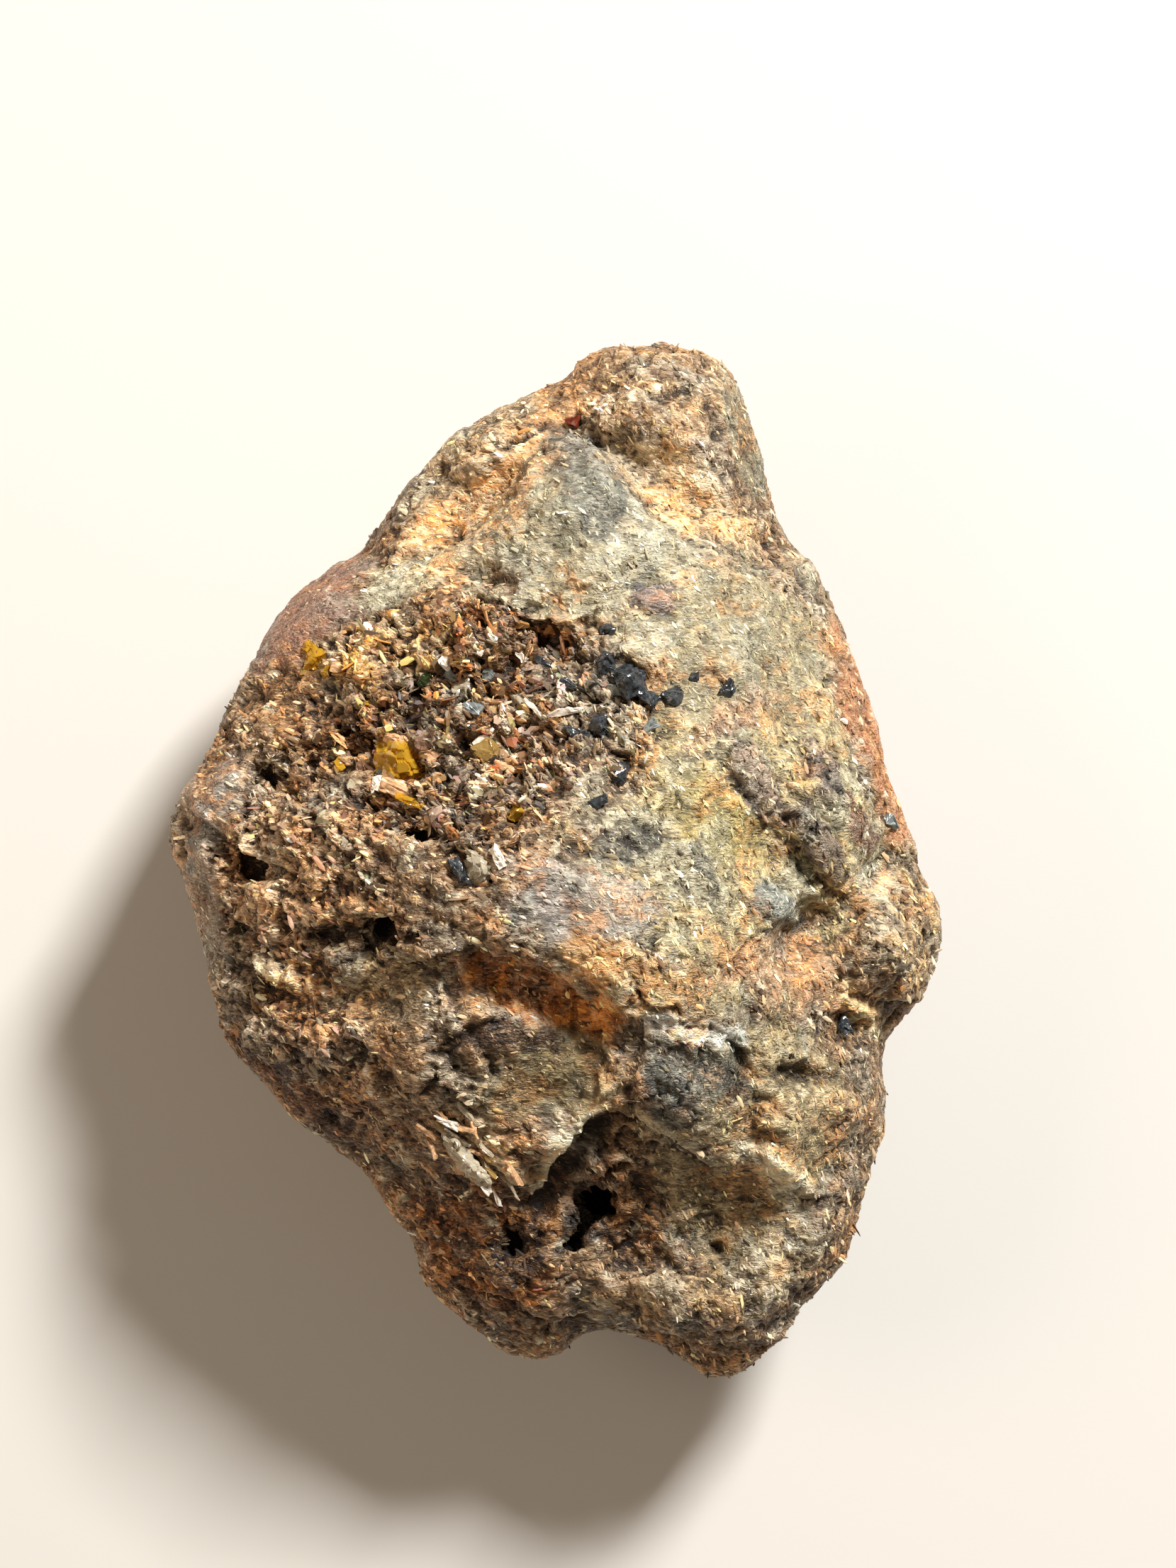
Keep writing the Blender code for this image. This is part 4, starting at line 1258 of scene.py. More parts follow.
@dataclass(frozen=True)
class BrokenGrain:
    """Broken grains of one mineral, flat-faced so that they glint one by one.

    Attributes:
        name: The material's name.
        roughness: How dull their faces are.
        metallic: 1 for bare metal.
        transmission: How much light goes through them.
        ior: How much they bend it.
        cast: The colour that theirs is drawn to.
        pull: How far it is drawn there, from 0 to 1.
    """

    name: str
    roughness: float
    metallic: float = 0.0
    transmission: float = 0.0
    ior: float = 1.6
    cast: str = ""
    pull: float = 0.0

    def material(self) -> bpy.types.Material:
        """The grains' material, which reads each grain's own tint."""
        skin = Shading(self.name)
        return skin.finish(
            {
                "Base Color": skin.attribute("tint"),
                "Roughness": self.roughness,
                "Metallic": self.metallic,
                "Transmission Weight": self.transmission,
                "IOR": self.ior,
            }
        )


class GrainKind(Enum):
    """The kinds of grain in the crust, each with its finish."""

    STONY = BrokenGrain("weathered_silicate_grain", 0.55)
    BLEACHED = BrokenGrain("bleached_olivine_grain", 0.24, cast="#f0e2bd", pull=0.55)
    RUSTY = BrokenGrain("iron_rust_crumb", 0.7, cast="#9a5c26", pull=0.3)
    METAL = BrokenGrain("tarnished_metal_grain", 0.3, metallic=0.6, cast="#86847c", pull=0.5)
    GLASSY = BrokenGrain("clear_olivine_grain", 0.07, 0.0, 0.8, OLIVINE_IOR, "#d8b46a", 0.5)


@dataclass
class GrainBed:
    """Broken grains that stand half sunk in the crust.

    Attributes:
        name: What the pieces' names start with.
        count: How many grains there are.
        small_mm: The smallest grains' size.
        large_mm: The largest grains' size, where the crust crumbles most.
        chip_mm: The length past which a grain is an angular chip and not a crumb.
        crowd: How strongly they gather where the crust is full of holes.
        tilt: How far they lean, 0 for flat in the crust.
        height: How thick they are against their length.
        drawn: How much longer than wide they are at the most.
        stray: How far they turn out of the crust's streaks, in degrees.
        plates: Whether the large ones are thin plates and not chips.
        pale_from: The draw, from 0 to 1, above which a grain is pale.
        cast_spread: How much their casts vary.
        piece_limit: About the most triangles in one piece.
        seed: The seed of their places.
    """

    name: str = "grains"
    count: int = 47000
    small_mm: float = 0.11
    large_mm: float = 0.45
    chip_mm: float = 0.3
    crowd: float = 0.0
    tilt: float = 0.22
    height: float = 0.3
    drawn: float = 3.2
    stray: float = 18.0
    plates: bool = False
    pale_from: float = 0.77
    cast_spread: float = 0.05
    piece_limit: int = 190000
    seed: int = 5

    def build(
        self, surface: Surface, finishes: dict[GrainKind, bpy.types.Material]
    ) -> list[bpy.types.Object]:
        """Scatter the grains and join them, each kind in as few pieces as the limit lets it.

        Args:
            surface: The crust that they lie in.
            finishes: Each kind's material.

        Returns:
            The pieces.
        """
        rng = np.random.default_rng(self.seed)
        spots = self.choose_spots(surface, rng)
        chips = self.plate_shapes() if self.plates else self.chip_shapes()
        shapes = chips + self.crumb_shapes()
        kind_of = self.choose_kinds(spots, rng)
        tints = self.choose_tints(spots, kind_of, rng)
        frames = self.turn_and_size(spots, rng)
        large = np.linalg.norm(frames[:, 0], axis=1) > self.chip_mm / 2
        chip_of = rng.integers(0, len(chips), self.count)
        crumb_of = rng.integers(len(chips), len(shapes), self.count)
        shape_of = np.where(large, chip_of, crumb_of)
        pieces = []
        for number, kind in enumerate(GrainKind):
            chosen = np.nonzero(kind_of == number)[0]
            if not len(chosen):
                continue
            finish = finishes[kind]
            faces = np.cumsum([len(shapes[shape_of[grain]][1]) for grain in chosen])
            parts = int(faces[-1] // self.piece_limit) + 1
            for part, share in enumerate(np.array_split(chosen, parts), 1):
                name = f"{self.name}_{kind.name.lower()}_{part}"
                pieces.append(self.join(name, share, shapes, shape_of, spots, frames, tints, finish))
        return pieces

    def choose_spots(self, surface: Surface, rng: np.random.Generator) -> Spots:
        """Pick the grains' places, closest together where the crust faces up and crumbles.

        None lies within 0.8 mm of the table, and few lie in the deepest dips.
        """
        low = surface.places[surface.triangles]
        normal = np.cross(low[:, 1] - low[:, 0], low[:, 2] - low[:, 0])
        area = np.linalg.norm(normal, axis=1)
        normal /= np.maximum(area, 1e-12)[:, None]
        rough = surface.kinds.rough[surface.triangles].mean(axis=1)
        pores = surface.kinds.pores[surface.triangles].mean(axis=1)
        weight = area * (0.3 + 0.7 * rough) * (0.15 + 0.85 * smoothstep(-0.1, 0.45, normal[:, 2]))
        weight *= pores**self.crowd
        weight *= low[:, :, 2].min(axis=1) > 0.8
        weight *= 0.03 + 0.97 * smoothstep(-1.5, -0.7, surface.kinds.wear[surface.triangles].mean(axis=1))
        face = rng.choice(len(weight), self.count, p=weight / weight.sum())
        share = rng.dirichlet((1.0, 1.0, 1.0), self.count)
        corners = surface.triangles[face]
        place = np.einsum("ij,ijk->ik", share, surface.places[corners])
        return Spots(place, normal[face], surface.kinds.between(corners))

    def chip_shapes(self) -> list[Shape]:
        """Angular chips, each a ball cut flat below and on one side."""
        shapes = []
        for turn, lean, cut in ((10, 0.2, 0.62), (70, -0.3, 0.55), (140, 0.5, 0.7), (205, 0.0, 0.5)):
            deselect_all()
            bpy.ops.mesh.primitive_ico_sphere_add(subdivisions=1, radius=1.0)
            angle = math.radians(turn)
            side = Vector((math.cos(angle), math.sin(angle), lean)).normalized()
            shapes.append(self.cut_and_take([((0, 0, -0.45), (0, 0, -1)), (side * cut, side)]))
        return shapes

    def plate_shapes(self) -> list[Shape]:
        """Thin angular plates, each a flat block with its sides broken off aslant."""
        rng = np.random.default_rng(self.seed)
        shapes = []
        for _ in range(5):
            deselect_all()
            bpy.ops.mesh.primitive_cube_add(size=2.0)
            planes = []
            for step in range(4):
                angle = math.radians(90 * step + rng.uniform(20, 70))
                side = Vector((math.cos(angle), math.sin(angle), rng.uniform(-0.5, 0.5))).normalized()
                planes.append((side * rng.uniform(0.5, 0.95), side))
            shapes.append(self.cut_and_take(planes))
        return shapes

    def crumb_shapes(self) -> list[Shape]:
        """Small crumbs, each a blunt pyramid with its top cut off aslant."""
        shapes = []
        for sides, lean in ((3, 0.5), (4, -0.4), (4, 0.8), (3, 0.2), (3, -0.7)):
            deselect_all()
            bpy.ops.mesh.primitive_cone_add(vertices=sides, radius1=1.0, radius2=0.0, depth=1.9)
            top = Vector((lean, 0.3, 1.0)).normalized()
            shapes.append(self.cut_and_take([(top * 0.35, top)]))
        return shapes

    def cut_and_take(self, planes: list[Plane]) -> Shape:
        """Cut the active object flat at each plane, take its corners and triangles, and remove it."""
        shape = bpy.context.object
        cut_flat(planes)
        with edit_mode():
            bpy.ops.mesh.remove_doubles(threshold=0.05)
            bpy.ops.mesh.quads_convert_to_tris()
            bpy.ops.mesh.normals_make_consistent(inside=False)
        corners = np.array([tuple(vertex.co) for vertex in shape.data.vertices])
        triangles = np.array([tuple(face.vertices) for face in shape.data.polygons])
        bpy.data.objects.remove(shape)
        return corners, triangles

    def choose_kinds(self, spots: Spots, rng: np.random.Generator) -> np.ndarray:
        """The number of each grain's kind, by the crust that it lies in."""
        kinds = spots.kinds
        light = kinds.tint.mean(axis=1)
        warm = np.clip((kinds.tint[:, 0] - kinds.tint[:, 2]) / np.maximum(light, 0.02), 0, 2)
        stony = np.full(self.count, 0.8)
        bleached, rusty = 0.02 + 0.14 * light, 0.03 + 0.05 * warm
        metal, glassy = 0.02 + 0.03 * kinds.rough, 0.01 + 0.04 * kinds.pores
        chances = np.stack([stony, bleached, rusty, metal, glassy], axis=1)
        edges = np.cumsum(chances / chances.sum(axis=1)[:, None], axis=1)
        return (rng.random(self.count)[:, None] > edges[:, :-1]).sum(axis=1)

    def choose_tints(self, spots: Spots, kind_of: np.ndarray, rng: np.random.Generator) -> np.ndarray:
        """Each grain's linear colour: the crust's own, drawn to the cast of its kind, with painted shade in
        the dips and painted highlight where the crust stands proud.
        """
        kinds = spots.kinds
        draw = rng.random(self.count)
        dark, pale = draw < 0.3, draw > self.pale_from
        tints = kinds.tint.copy()
        blend(tints, 0.75 * dark, 0.8 * kinds.fleck)
        tints += 0.6 * pale[:, None] * (0.8 * tints + 0.35 * colour("#f3e0b4"))
        tints *= np.exp(rng.normal(0.0, 0.38, self.count))[:, None]
        tints *= np.exp(rng.normal(0.0, self.cast_spread, (self.count, 3)))
        for number, kind in enumerate(GrainKind):
            if kind.value.pull:
                chosen = kind_of == number
                level = 0.35 + 0.65 * np.sqrt(tints[chosen].mean(axis=1))
                level *= np.exp(rng.normal(0.0, 0.35, chosen.sum()))
                cast = colour(kind.value.cast) * level[:, None]
                tints[chosen] += kind.value.pull * (cast - tints[chosen])
        # Painted shade and highlight: grains in dips are darkened and those on proud places lightened
        tints *= np.clip(1 + 0.45 * kinds.wear, 0.2, 1.5)[:, None]
        return np.clip(tints, 0.004, 0.95)

    def turn_and_size(self, spots: Spots, rng: np.random.Generator) -> np.ndarray:
        """Three scaled axes for each grain: along the crust's streaks, across them and outwards."""
        streak = STREAK_LEFT + (STREAK_RIGHT - STREAK_LEFT) * right_share(spots.place)
        angle = np.radians(streak + rng.normal(0.0, self.stray, self.count))
        along = np.stack([np.cos(angle), np.sin(angle), np.zeros(self.count)], axis=1)
        upward = smoothstep(0.1, 0.6, spots.normal[:, 2])
        lean = self.tilt * (0.3 + 0.7 * upward)
        outward = spots.normal + lean[:, None] * rng.normal(0.0, 1.0, (self.count, 3))
        outward /= np.linalg.norm(outward, axis=1)[:, None]
        along -= np.einsum("ij,ij->i", along, outward)[:, None] * outward
        along /= np.maximum(np.linalg.norm(along, axis=1), 1e-6)[:, None]
        across = np.cross(outward, along)
        rough = spots.kinds.rough
        reach = (self.large_mm - self.small_mm) * rough * rng.random(self.count) ** 6
        half = 0.5 * (self.small_mm * rng.uniform(0.8, 1.4, self.count) + reach)
        long = half * rng.uniform(1.0, self.drawn, self.count)
        wide = half * rng.uniform(0.5, 1.0, self.count)
        tall = half * rng.uniform(0.15, self.height * (1 + rough), self.count)
        tall *= 0.25 + 0.75 * upward
        return np.stack([along * long[:, None], across * wide[:, None], outward * tall[:, None]], axis=1)

    def join(
        self,
        name: str,
        chosen: np.ndarray,
        shapes: list[Shape],
        shape_of: np.ndarray,
        spots: Spots,
        frames: np.ndarray,
        tints: np.ndarray,
        finish: bpy.types.Material,
    ) -> bpy.types.Object:
        """Make one piece from grains.

        Args:
            name: The piece's name.
            chosen: The numbers of the grains.
            shapes: The shapes' corners and triangles.
            shape_of: The number of each grain's shape.
            spots: Where the grains lie.
            frames: Each grain's scaled axes.
            tints: Each grain's linear colour.
            finish: The piece's material.

        Returns:
            The piece.
        """
        corners, triangles, colours = [], [], []
        first = 0
        for number, (shape_corners, shape_triangles) in enumerate(shapes):
            grains = chosen[shape_of[chosen] == number]
            placed = np.einsum("ij,gjk->gik", shape_corners, frames[grains]) + spots.place[grains][:, None, :]
            starts = first + len(shape_corners) * np.arange(len(grains))
            corners.append(placed.reshape(-1, 3))
            triangles.append((shape_triangles[None] + starts[:, None, None]).reshape(-1, 3))
            colours.append(np.repeat(tints[grains], len(shape_corners), axis=0))
            first += len(shape_corners) * len(grains)
        piece = mesh_object(name, np.concatenate(corners), np.concatenate(triangles))
        store(piece.data, "tint", np.concatenate(colours))
        piece.data.materials.append(finish)
        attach(piece, "root")
        return piece


GRAINS = GrainBed()

FLAKES = GrainBed(
    name="flakes",
    count=2400,
    small_mm=0.22,
    large_mm=0.62,
    chip_mm=0.2,
    crowd=3.0,
    tilt=0.45,
    height=0.12,
    drawn=1.8,
    stray=35.0,
    plates=True,
    pale_from=0.86,
    cast_spread=0.13,
    seed=9,
)


@dataclass(frozen=True)
class OlivineGlass:
    """Clear olivine, a natural crystal: sharp glints, and a colour that deepens with its thickness.

    Attributes:
        name: The material's name.
        passes: The colour of light that has gone through it.
        per_mm: How strongly a millimetre of it takes in the rest.
        roughness: How dull its faces are.
        cloudy: How far fine fractures fill it, from 0 to 1.
    """

    name: str
    passes: str
    per_mm: float
    roughness: float = 0.08
    cloudy: float = 0.1

    def material(self) -> bpy.types.Material:
        """The crystal's material."""
        glass = Shading(self.name)
        passes = linear(self.passes)
        depth = glass.node("VolumeAbsorption", {"Color": passes, "Density": self.per_mm / MM})
        output = next(node for node in glass.tree.nodes if node.type == "OUTPUT_MATERIAL")
        glass.fill(output, {"Volume": depth.outputs["Volume"]})
        return glass.finish(
            {
                "Base Color": passes,
                "Roughness": self.roughness,
                "IOR": OLIVINE_IOR,
                "Transmission Weight": 1 - self.cloudy,
            }
        )


@dataclass(frozen=True)
class FracturedMineral:
    """Opaque broken mineral, blotched a little paler and darker, with glossy flat faces.

    Attributes:
        name: The material's name.
        tint: Its main colour.
        roughness: How dull its faces are.
        blotch: How much its brightness varies.
    """

    name: str
    tint: str
    roughness: float = 0.35
    blotch: float = 0.35

    def material(self) -> bpy.types.Material:
        """The mineral's material."""
        skin = Shading(self.name)
        # Blotches 0.2 mm across
        noise = skin.noise(skin.place(), 1 / (0.2 * MM), 3.0, 0.5)
        level = skin.ramp(noise, 0.3, 0.7, 1 - self.blotch, 1 + self.blotch)
        return skin.finish(
            {
                "Base Color": skin.mixed(1.0, linear(self.tint), level, "MULTIPLY"),
                "Roughness": self.roughness,
                "Specular IOR Level": 0.7,
                "Normal": skin.bump(noise, 0.7, 0.04),
            }
        )


class Mineral(Enum):
    """The minerals of the larger crystals and shards, each with its finish."""

    AMBER = OlivineGlass("amber_olivine", "#fbc436", 0.3, 0.07, 0.42)
    HONEY = OlivineGlass("honey_olivine", "#dcb567", 0.35, 0.12, 0.35)
    CLEAR = OlivineGlass("pale_olivine", "#e6d9bd", 0.2, 0.12, 0.5)
    PINK = OlivineGlass("pinkish_olivine", "#d8b094", 0.4, 0.1, 0.35)
    GREEN = OlivineGlass("dark_green_olivine", "#4a5a2a", 1.6, 0.12, 0.3)
    BLACK = FracturedMineral("black_glossy_mineral", "#33373a", 0.22, 0.8)
    GREY = FracturedMineral("blue_grey_flake", "#7b8280", 0.28, 0.4)
    TAN = FracturedMineral("fractured_tan_olivine", "#cfa377", 0.42, 0.4)
    # Bleached olivine; some of its white shards also stand where glints show, as painted highlights
    WHITE = FracturedMineral("bleached_olivine_edge", "#ece2d2", 0.3, 0.25)
    RED = FracturedMineral("red_brown_oxide_bead", "#6a2a17", 0.18, 0.3)


@dataclass(frozen=True)
class Crystal:
    """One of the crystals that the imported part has, broken up further.

    Attributes:
        node_name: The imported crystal.
        mineral: What it is made of.
        cuts: How many more flat breaks it has.
        facet_mm: The size of the small facets on its faces.
        relief_mm: How far they stand out.
        seed: The seed of its breaks.
    """

    node_name: str
    mineral: Mineral
    cuts: int
    facet_mm: float
    relief_mm: float
    seed: int

    def build(self, node: bpy.types.Object, finish: bpy.types.Material) -> bpy.types.Object:
        """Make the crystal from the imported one.

        Args:
            node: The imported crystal.
            finish: Its material.

        Returns:
            The crystal.
        """
        piece = copy_solid(node, self.node_name.replace("olivine_", "crystal_"))
        with edit_mode():
            bpy.ops.mesh.dissolve_limited(angle_limit=math.radians(1))
        self.break_edges()
        apply_modifier(piece, "BEVEL", width=0.04 * MM, segments=1, limit_method="ANGLE")
        facet(piece, RockNoise(self.seed), self.facet_mm, self.relief_mm, levels=3)
        piece.data.materials.clear()
        piece.data.materials.append(finish)
        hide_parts(node.name)
        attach(piece, "root")
        return piece

    def break_edges(self) -> None:
        """Break flat bits off the upper edges of the crystal, which is the active object."""
        rng = np.random.default_rng(self.seed)
        low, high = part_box(self.node_name)
        middle, half = (low + high) / 2, (high - low) / 2
        planes = []
        for _ in range(self.cuts):
            angle = rng.uniform(0.0, math.tau)
            way = Vector((math.cos(angle), math.sin(angle), rng.uniform(0.25, 0.9))).normalized()
            reach = abs(way.x) * half.x + abs(way.y) * half.y + abs(way.z) * half.z
            planes.append((middle + way * reach * rng.uniform(0.22, 0.5), way))
        cut_flat(planes)


@dataclass(frozen=True)
class Shard:
    """A small splinter, plate or bead that lies in the crust.

    Attributes:
        x: Its place, in millimetres.
        y: Its place.
        size: Its length, width and thickness.
        turn: The way that its length runs, in degrees anticlockwise from X.
        lean: How far it leans over its length, in degrees.
        mineral: What it is made of.
        lift: How far its middle stands above the crust.
    """

    x: float
    y: float
    size: tuple[float, float, float]
    turn: float
    lean: float
    mineral: Mineral
    lift: float = 0.05


CRYSTALS = (
    Crystal("olivine_amber_large", Mineral.AMBER, 7, 0.55, 0.26, 4),
    Crystal("olivine_amber_small", Mineral.AMBER, 3, 0.4, 0.1, 5),
    Crystal("olivine_amber_left", Mineral.AMBER, 3, 0.35, 0.16, 8),
    Crystal("olivine_honey", Mineral.HONEY, 3, 0.5, 0.14, 11),
    Crystal("olivine_clear_large", Mineral.CLEAR, 6, 0.45, 0.3, 14),
    Crystal("olivine_clear_upper", Mineral.CLEAR, 4, 0.45, 0.2, 17),
    Crystal("olivine_clear_middle", Mineral.CLEAR, 4, 0.45, 0.2, 20),
    Crystal("olivine_splinter", Mineral.CLEAR, 3, 0.3, 0.22, 23),
    Crystal("olivine_black_upper", Mineral.BLACK, 3, 0.5, 0.12, 26),
    Crystal("olivine_black_large", Mineral.BLACK, 4, 0.65, 0.16, 29),
    Crystal("olivine_black_right", Mineral.BLACK, 3, 0.5, 0.12, 32),
    Crystal("olivine_black_left", Mineral.BLACK, 3, 0.5, 0.12, 35),
    Crystal("olivine_black_lower", Mineral.BLACK, 3, 0.5, 0.1, 38),
)

SHARDS = (
    Shard(-7.0, 5.7, (2.1, 0.8, 0.5), -28, 22, Mineral.TAN, 0.35),
    Shard(-5.9, 5.1, (1.3, 0.5, 0.35), -18, 15, Mineral.TAN, 0.4),
    Shard(-7.3, 3.6, (2.0, 0.9, 0.5), -16, -22, Mineral.TAN, 0.15),
    # Painted glints: these two white shards stand where glints show beside the amber crystal
    Shard(-8.4, 3.9, (0.9, 0.7, 0.4), 20, 10, Mineral.WHITE, 0.1),
    Shard(-8.2, 5.3, (0.8, 0.5, 0.4), 70, 15, Mineral.WHITE, 0.2),
    Shard(-6.8, 3.0, (1.5, 0.35, 0.3), -18, -20, Mineral.AMBER, 0.15),
    Shard(-6.2, 5.9, (0.9, 0.75, 0.5), 10, 0, Mineral.PINK, 0.3),
    Shard(-4.3, 5.0, (1.0, 0.35, 0.3), -3, 0, Mineral.AMBER, 0.1),
    Shard(-3.3, 6.0, (1.2, 0.4, 0.3), 40, 10, Mineral.WHITE, 0.15),
    Shard(-2.4, 4.6, (1.2, 0.5, 0.3), -25, 10, Mineral.TAN, 0.15),
    Shard(-4.0, 7.4, (1.1, 0.55, 0.3), -14, -10, Mineral.GREY, 0.2),
    Shard(-3.1, 8.9, (0.9, 0.6, 0.3), -50, 15, Mineral.GREY, 0.15),
    Shard(-5.0, 8.9, (0.8, 0.6, 0.3), -40, 10, Mineral.GREY, 0.15),
    Shard(-0.9, 7.3, (1.5, 0.35, 0.4), -48, 15, Mineral.WHITE, 0.2),
    Shard(0.4, 7.2, (1.7, 0.35, 0.4), 12, 15, Mineral.WHITE, 0.2),
    Shard(-3.6, 10.1, (0.4, 0.35, 0.3), 0, 0, Mineral.WHITE, 0.1),
    Shard(-5.2, 9.6, (0.45, 0.4, 0.3), 30, 0, Mineral.WHITE, 0.1),
    Shard(-6.2, 8.8, (0.9, 0.6, 0.4), 20, 0, Mineral.GREEN, 0.1),
    Shard(-8.9, 7.6, (0.6, 0.3, 0.3), 10, 0, Mineral.AMBER, 0.15),
    Shard(-10.2, 4.8, (0.6, 0.45, 0.3), -60, 0, Mineral.AMBER, 0.1),
    Shard(-11.9, 10.5, (0.6, 0.45, 0.35), 60, 0, Mineral.AMBER, 0.15),
    Shard(-11.0, 9.2, (0.6, 0.4, 0.35), 110, 0, Mineral.AMBER, 0.15),
    Shard(-12.0, 9.2, (0.5, 0.35, 0.3), 80, 0, Mineral.HONEY, 0.15),
    Shard(-10.3, 9.4, (0.8, 0.55, 0.4), -20, 10, Mineral.TAN, 0.15),
    Shard(-9.2, 11.2, (0.5, 0.35, 0.3), 0, 0, Mineral.HONEY, 0.1),
    Shard(1.0, 6.2, (1.3, 0.5, 0.3), -20, 5, Mineral.BLACK, 0.1),
    Shard(0.5, 8.6, (0.8, 0.4, 0.3), -30, 5, Mineral.BLACK, 0.1),
    Shard(4.4, 6.5, (0.8, 0.5, 0.3), 30, 5, Mineral.GREY, 0.1),
    Shard(8.1, 8.3, (1.0, 0.7, 0.4), 60, 10, Mineral.BLACK, 0.1),
    Shard(6.5, 8.9, (0.5, 0.4, 0.3), 10, 5, Mineral.BLACK, 0.1),
    Shard(2.0, 3.0, (0.9, 0.5, 0.3), 30, 5, Mineral.BLACK, 0.08),
    Shard(-2.7, 0.5, (1.2, 0.5, 0.4), -60, 20, Mineral.WHITE, 0.25),
    Shard(-4.4, -0.4, (1.7, 0.55, 0.5), -62, -20, Mineral.BLACK, 0.2),
    Shard(-3.2, -0.9, (0.9, 0.4, 0.35), -30, 10, Mineral.TAN, 0.25),
    Shard(0.9, 21.2, (0.7, 0.5, 0.4), 20, 0, Mineral.RED, 0.15),
    Shard(13.6, -7.5, (1.3, 0.6, 0.5), -50, 0, Mineral.BLACK, 0.2),
    Shard(16.0, 2.0, (0.8, 0.5, 0.4), -65, 0, Mineral.GREY, 0.15),
    # Painted glint: a small white shard where a glint shows
    Shard(13.7, 6.8, (0.4, 0.3, 0.3), 0, 0, Mineral.WHITE, 0.1),
    Shard(2.3, 9.3, (1.2, 0.7, 0.6), 60, 25, Mineral.BLACK, 0.2),
    Shard(4.3, 8.0, (1.3, 0.6, 0.5), -35, -20, Mineral.BLACK, 0.15),
    Shard(2.6, 8.3, (1.0, 0.5, 0.4), -10, 20, Mineral.GREY, 0.2),
    Shard(-6.4, 4.3, (1.4, 0.5, 0.4), 12, -15, Mineral.AMBER, 0.35),
    Shard(-8.3, 4.6, (0.6, 0.5, 0.5), 40, 20, Mineral.GREY, 0.25),
    Shard(-7.6, 4.3, (0.7, 0.35, 0.4), 15, 10, Mineral.WHITE, 0.4),
    Shard(-0.6, 9.6, (0.9, 0.35, 0.3), -35, 10, Mineral.BLACK, 0.15),
    Shard(-1.6, 9.9, (0.8, 0.3, 0.3), -40, 10, Mineral.WHITE, 0.15),
)


@dataclass
class ShardSet:
    """All shards, joined in one piece for each mineral.

    Attributes:
        splinter_count: How many thin splinters lie beside the splinter crystal.
        seed: The seed of their breaks.
    """

    splinter_count: int = 26
    seed: int = 71

    def build(
        self, crust: bpy.types.Object, finishes: dict[Mineral, bpy.types.Material]
    ) -> list[bpy.types.Object]:
        """Make the shards and lay them in the crust.

        Args:
            crust: The crust.
            finishes: Each mineral's material.

        Returns:
            The pieces.
        """
        rng = np.random.default_rng(self.seed)
        ground = BVHTree.FromObject(crust, bpy.context.evaluated_depsgraph_get())
        sorts: dict[Mineral, list[bpy.types.Object]] = {}
        for shard in (*SHARDS, *self.splinters()):
            sorts.setdefault(shard.mineral, []).append(self.model(shard, ground, rng))
        pieces = []
        for mineral, shards in sorts.items():
            make_active(shards[0])
            for shard in shards[1:]:
                shard.select_set(True)
            if len(shards) > 1:
                bpy.ops.object.join()
            piece = bpy.context.object
            piece.name = f"shards_{mineral.name.lower()}"
            piece.data.materials.append(finishes[mineral])
            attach(piece, "root")
            pieces.append(piece)
        return pieces

    def splinters(self) -> list[Shard]:
        """The thin pale splinters that lie along the splinter crystal, a few of them across it."""
        rng = np.random.default_rng(self.seed + 1)
        minerals = (Mineral.TAN, Mineral.WHITE, Mineral.CLEAR, Mineral.TAN, Mineral.HONEY)
        # The crystal runs 0.64 to the right for every 0.77 down
        right, down = 0.64, 0.77
        splinters = []
        for number in range(self.splinter_count):
            along, across = rng.uniform(-2.4, 2.4), rng.normal(0.0, 0.5)
            x, y = -4.2 + right * along + down * across, -13.8 - down * along + right * across
            size = (rng.uniform(0.7, 1.5), rng.uniform(0.14, 0.3), rng.uniform(0.14, 0.3))
            turn, lean, lift = rng.normal(-52, 20), rng.normal(0, 12), rng.uniform(0.2, 0.7)
            splinters.append(Shard(x, y, size, turn, lean, minerals[number % len(minerals)], lift))
        return splinters

    def model(self, shard: Shard, ground: BVHTree, rng: np.random.Generator) -> bpy.types.Object:
        """Break one shard out of a block and lay it in the crust.

        Args:
            shard: Its size and place.
            ground: The crust.
            rng: What its breaks are drawn from.

        Returns:
            The shard, with its place in its mesh.
        """
        deselect_all()
        bpy.ops.mesh.primitive_cube_add(size=2.0)
        piece = bpy.context.object
        cut_flat(random_planes(rng, count=7, low=0.6, high=1.0))
        above = Vector((shard.x, shard.y, 60.0)) * MM
        spot, normal, _, _ = ground.ray_cast(above, Vector((0, 0, -1)))
        piece.scale = Vector(shard.size) * 0.5 * MM
        piece.rotation_euler = (math.radians(shard.lean), 0.0, math.radians(shard.turn))
        piece.location = spot + (normal + Vector((0, 0, 1))) * 0.5 * shard.lift * MM
        bpy.ops.object.transform_apply(location=True, rotation=True, scale=True)
        apply_modifier(piece, "BEVEL", width=0.025 * MM, segments=1, limit_method="ANGLE")
        # A shard larger than half a square millimetre gets finer facets
        levels = 2 if shard.size[0] * shard.size[1] > 0.5 else 1
        facet(piece, RockNoise(int(rng.integers(1, 900))), size=0.35, relief=0.12, levels=levels)
        return piece


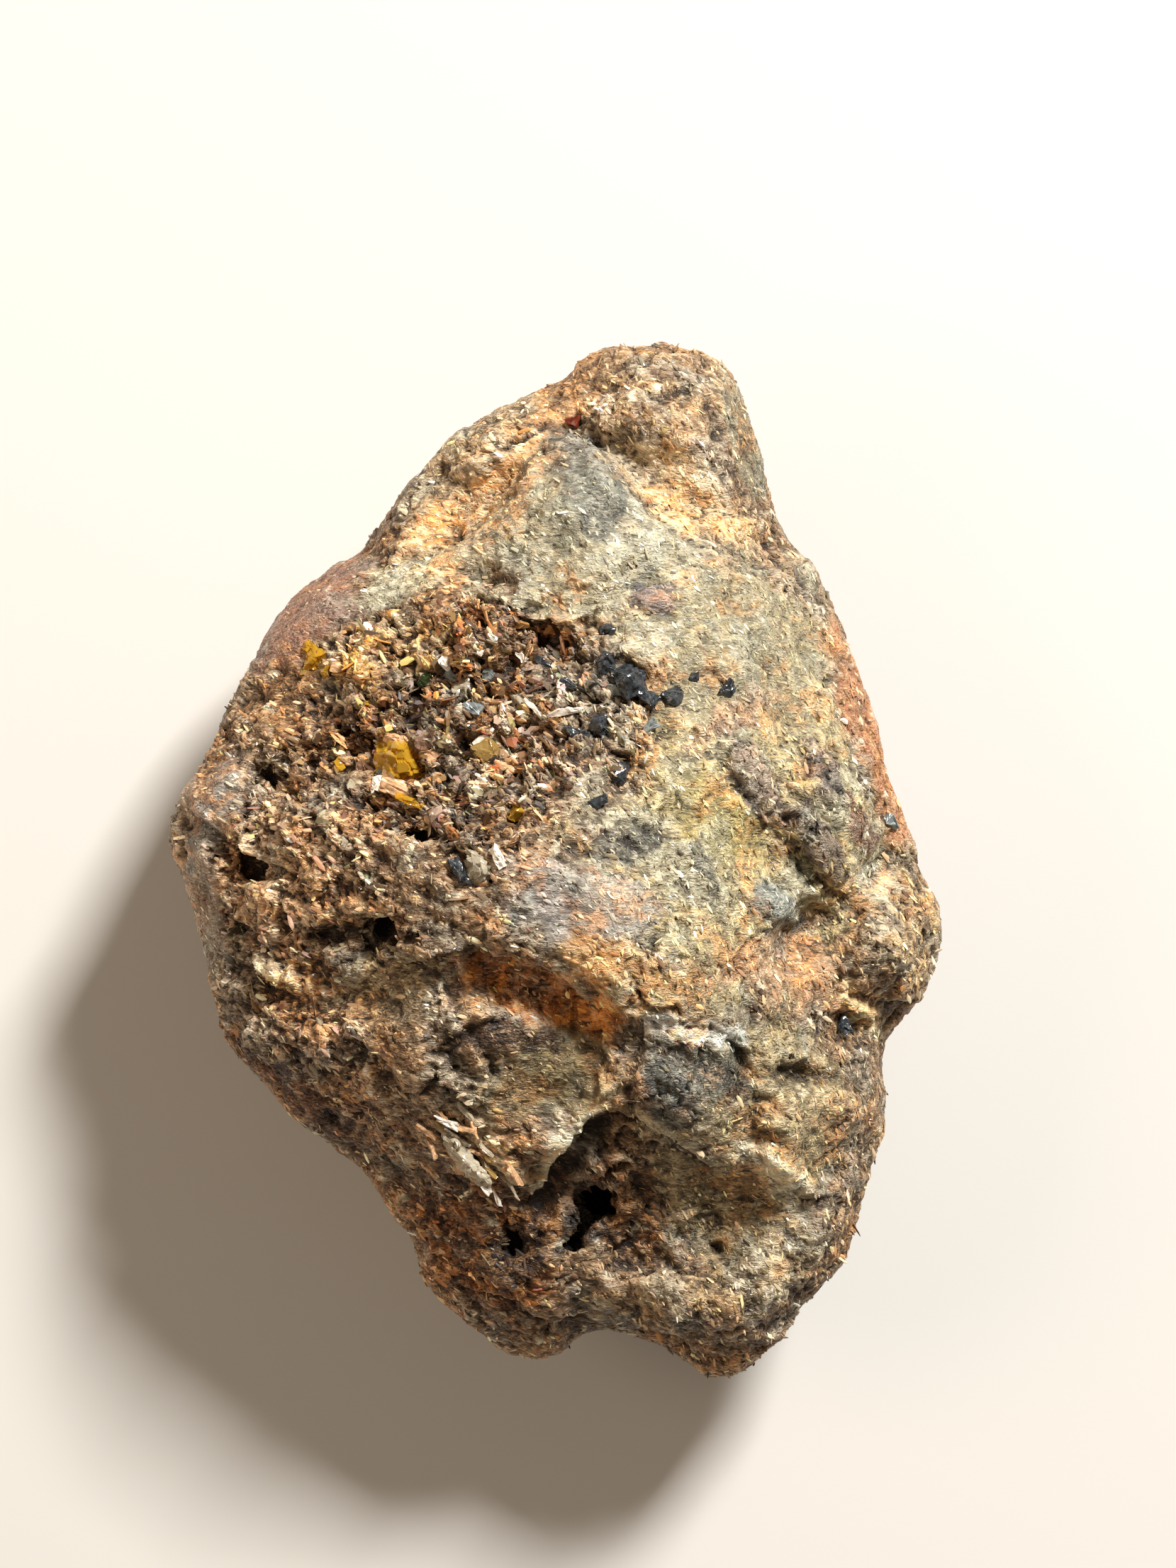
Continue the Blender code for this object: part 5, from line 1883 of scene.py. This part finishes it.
@dataclass
class Studio:
    """The table, lights and camera.

    Attributes:
        middle_mm: The place on the nugget that the picture's middle shows.
        picture_mm: The height of the picture, at the level of the nugget's rim.
        rim_mm: The height of the rim above the table.
        distance_mm: How far above the rim the camera is.
        sensor_mm: The height of the camera's sensor.
    """

    middle_mm: tuple[float, float] = (1.53, 3.83)
    picture_mm: float = 75.4
    rim_mm: float = 10.0
    distance_mm: float = 420.0
    sensor_mm: float = 36.0

    def build(self) -> None:
        """Add the table, the lights and the camera, which looks straight down."""
        self.add_table()
        self.add_lights()
        self.add_camera()

    def add_table(self) -> None:
        """A plain pale table top."""
        deselect_all()
        bpy.ops.mesh.primitive_plane_add(size=2.0, location=(0, 0, -0.02 * MM))
        table = bpy.context.object
        table.name = "table_top"
        board = Shading("pale_matt_board").finish({"Base Color": linear("#d9d6d0"), "Roughness": 0.9})
        table.data.materials.append(board)

    def add_area(
        self, name: str, place_mm: tuple[float, float, float], size_mm: float, power: float, hex_colour: str
    ) -> None:
        """Add a square soft light that faces the nugget.

        Args:
            name: Its name.
            place_mm: Where it is.
            size_mm: The length of its side.
            power: Its power in watts.
            hex_colour: The colour of its light.
        """
        light = bpy.data.lights.new(name, "AREA")
        light.energy = power
        light.color = linear(hex_colour)[:3]
        light.size = size_mm * MM
        lamp = bpy.data.objects.new(name, light)
        lamp.location = Vector(place_mm) * MM
        to_rim = Vector((0, 0, self.rim_mm * MM)) - lamp.location
        lamp.rotation_euler = to_rim.to_track_quat("-Z", "Y").to_euler()
        bpy.context.scene.collection.objects.link(lamp)

    def add_lights(self) -> None:
        """A soft key light from the top of the picture, a weak fill and a pale surrounding."""
        self.add_area("key_light", (200.0, 305.0, 310.0), 100.0, 4.2, "#fffdfa")
        self.add_area("fill_light", (-370.0, 20.0, 280.0), 260.0, 0.66, "#ffe2c4")
        world = bpy.data.worlds.new("studio_air")
        world.use_nodes = True
        backdrop = world.node_tree.nodes["Background"]
        backdrop.inputs["Color"].default_value = linear("#f6eadb")
        backdrop.inputs["Strength"].default_value = 0.17
        bpy.context.scene.world = world

    def add_camera(self) -> None:
        """A camera that looks straight down."""
        data = bpy.data.cameras.new("camera")
        data.sensor_width = self.sensor_mm
        data.lens = self.sensor_mm * self.distance_mm / self.picture_mm
        data.clip_start = 10 * MM
        camera = bpy.data.objects.new("camera", data)
        camera.location = Vector((*self.middle_mm, self.rim_mm + self.distance_mm)) * MM
        bpy.context.scene.collection.objects.link(camera)
        bpy.context.scene.camera = camera


def main() -> None:
    """Build the crust, the grains, the crystals and the studio, in that order."""
    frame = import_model()
    bpy.context.scene.view_settings.view_transform = "Standard"
    nodes = frame["nodes"]
    crystals = sorted(name for name in nodes if name.startswith("olivine_"))
    body = CrustBody()
    crust = body.build(nodes["meteorite_body"], crystals)
    LOG.info("crust built: %s", crust.name)
    grain_finishes = {kind: kind.value.material() for kind in GrainKind}
    for bed in (GRAINS, FLAKES):
        for piece in bed.build(body.surface, grain_finishes):
            LOG.info("grains built: %s, %d triangles", piece.name, len(piece.data.polygons))
    finishes = {mineral: mineral.value.material() for mineral in Mineral}
    for crystal in CRYSTALS:
        piece = crystal.build(nodes[crystal.node_name], finishes[crystal.mineral])
        LOG.info("crystal built: %s", piece.name)
    for piece in ShardSet().build(crust, finishes):
        LOG.info("shards built: %s", piece.name)
    Studio().build()


if __name__ == "__main__":
    logging.basicConfig(level=logging.INFO, format="%(message)s")
    main()
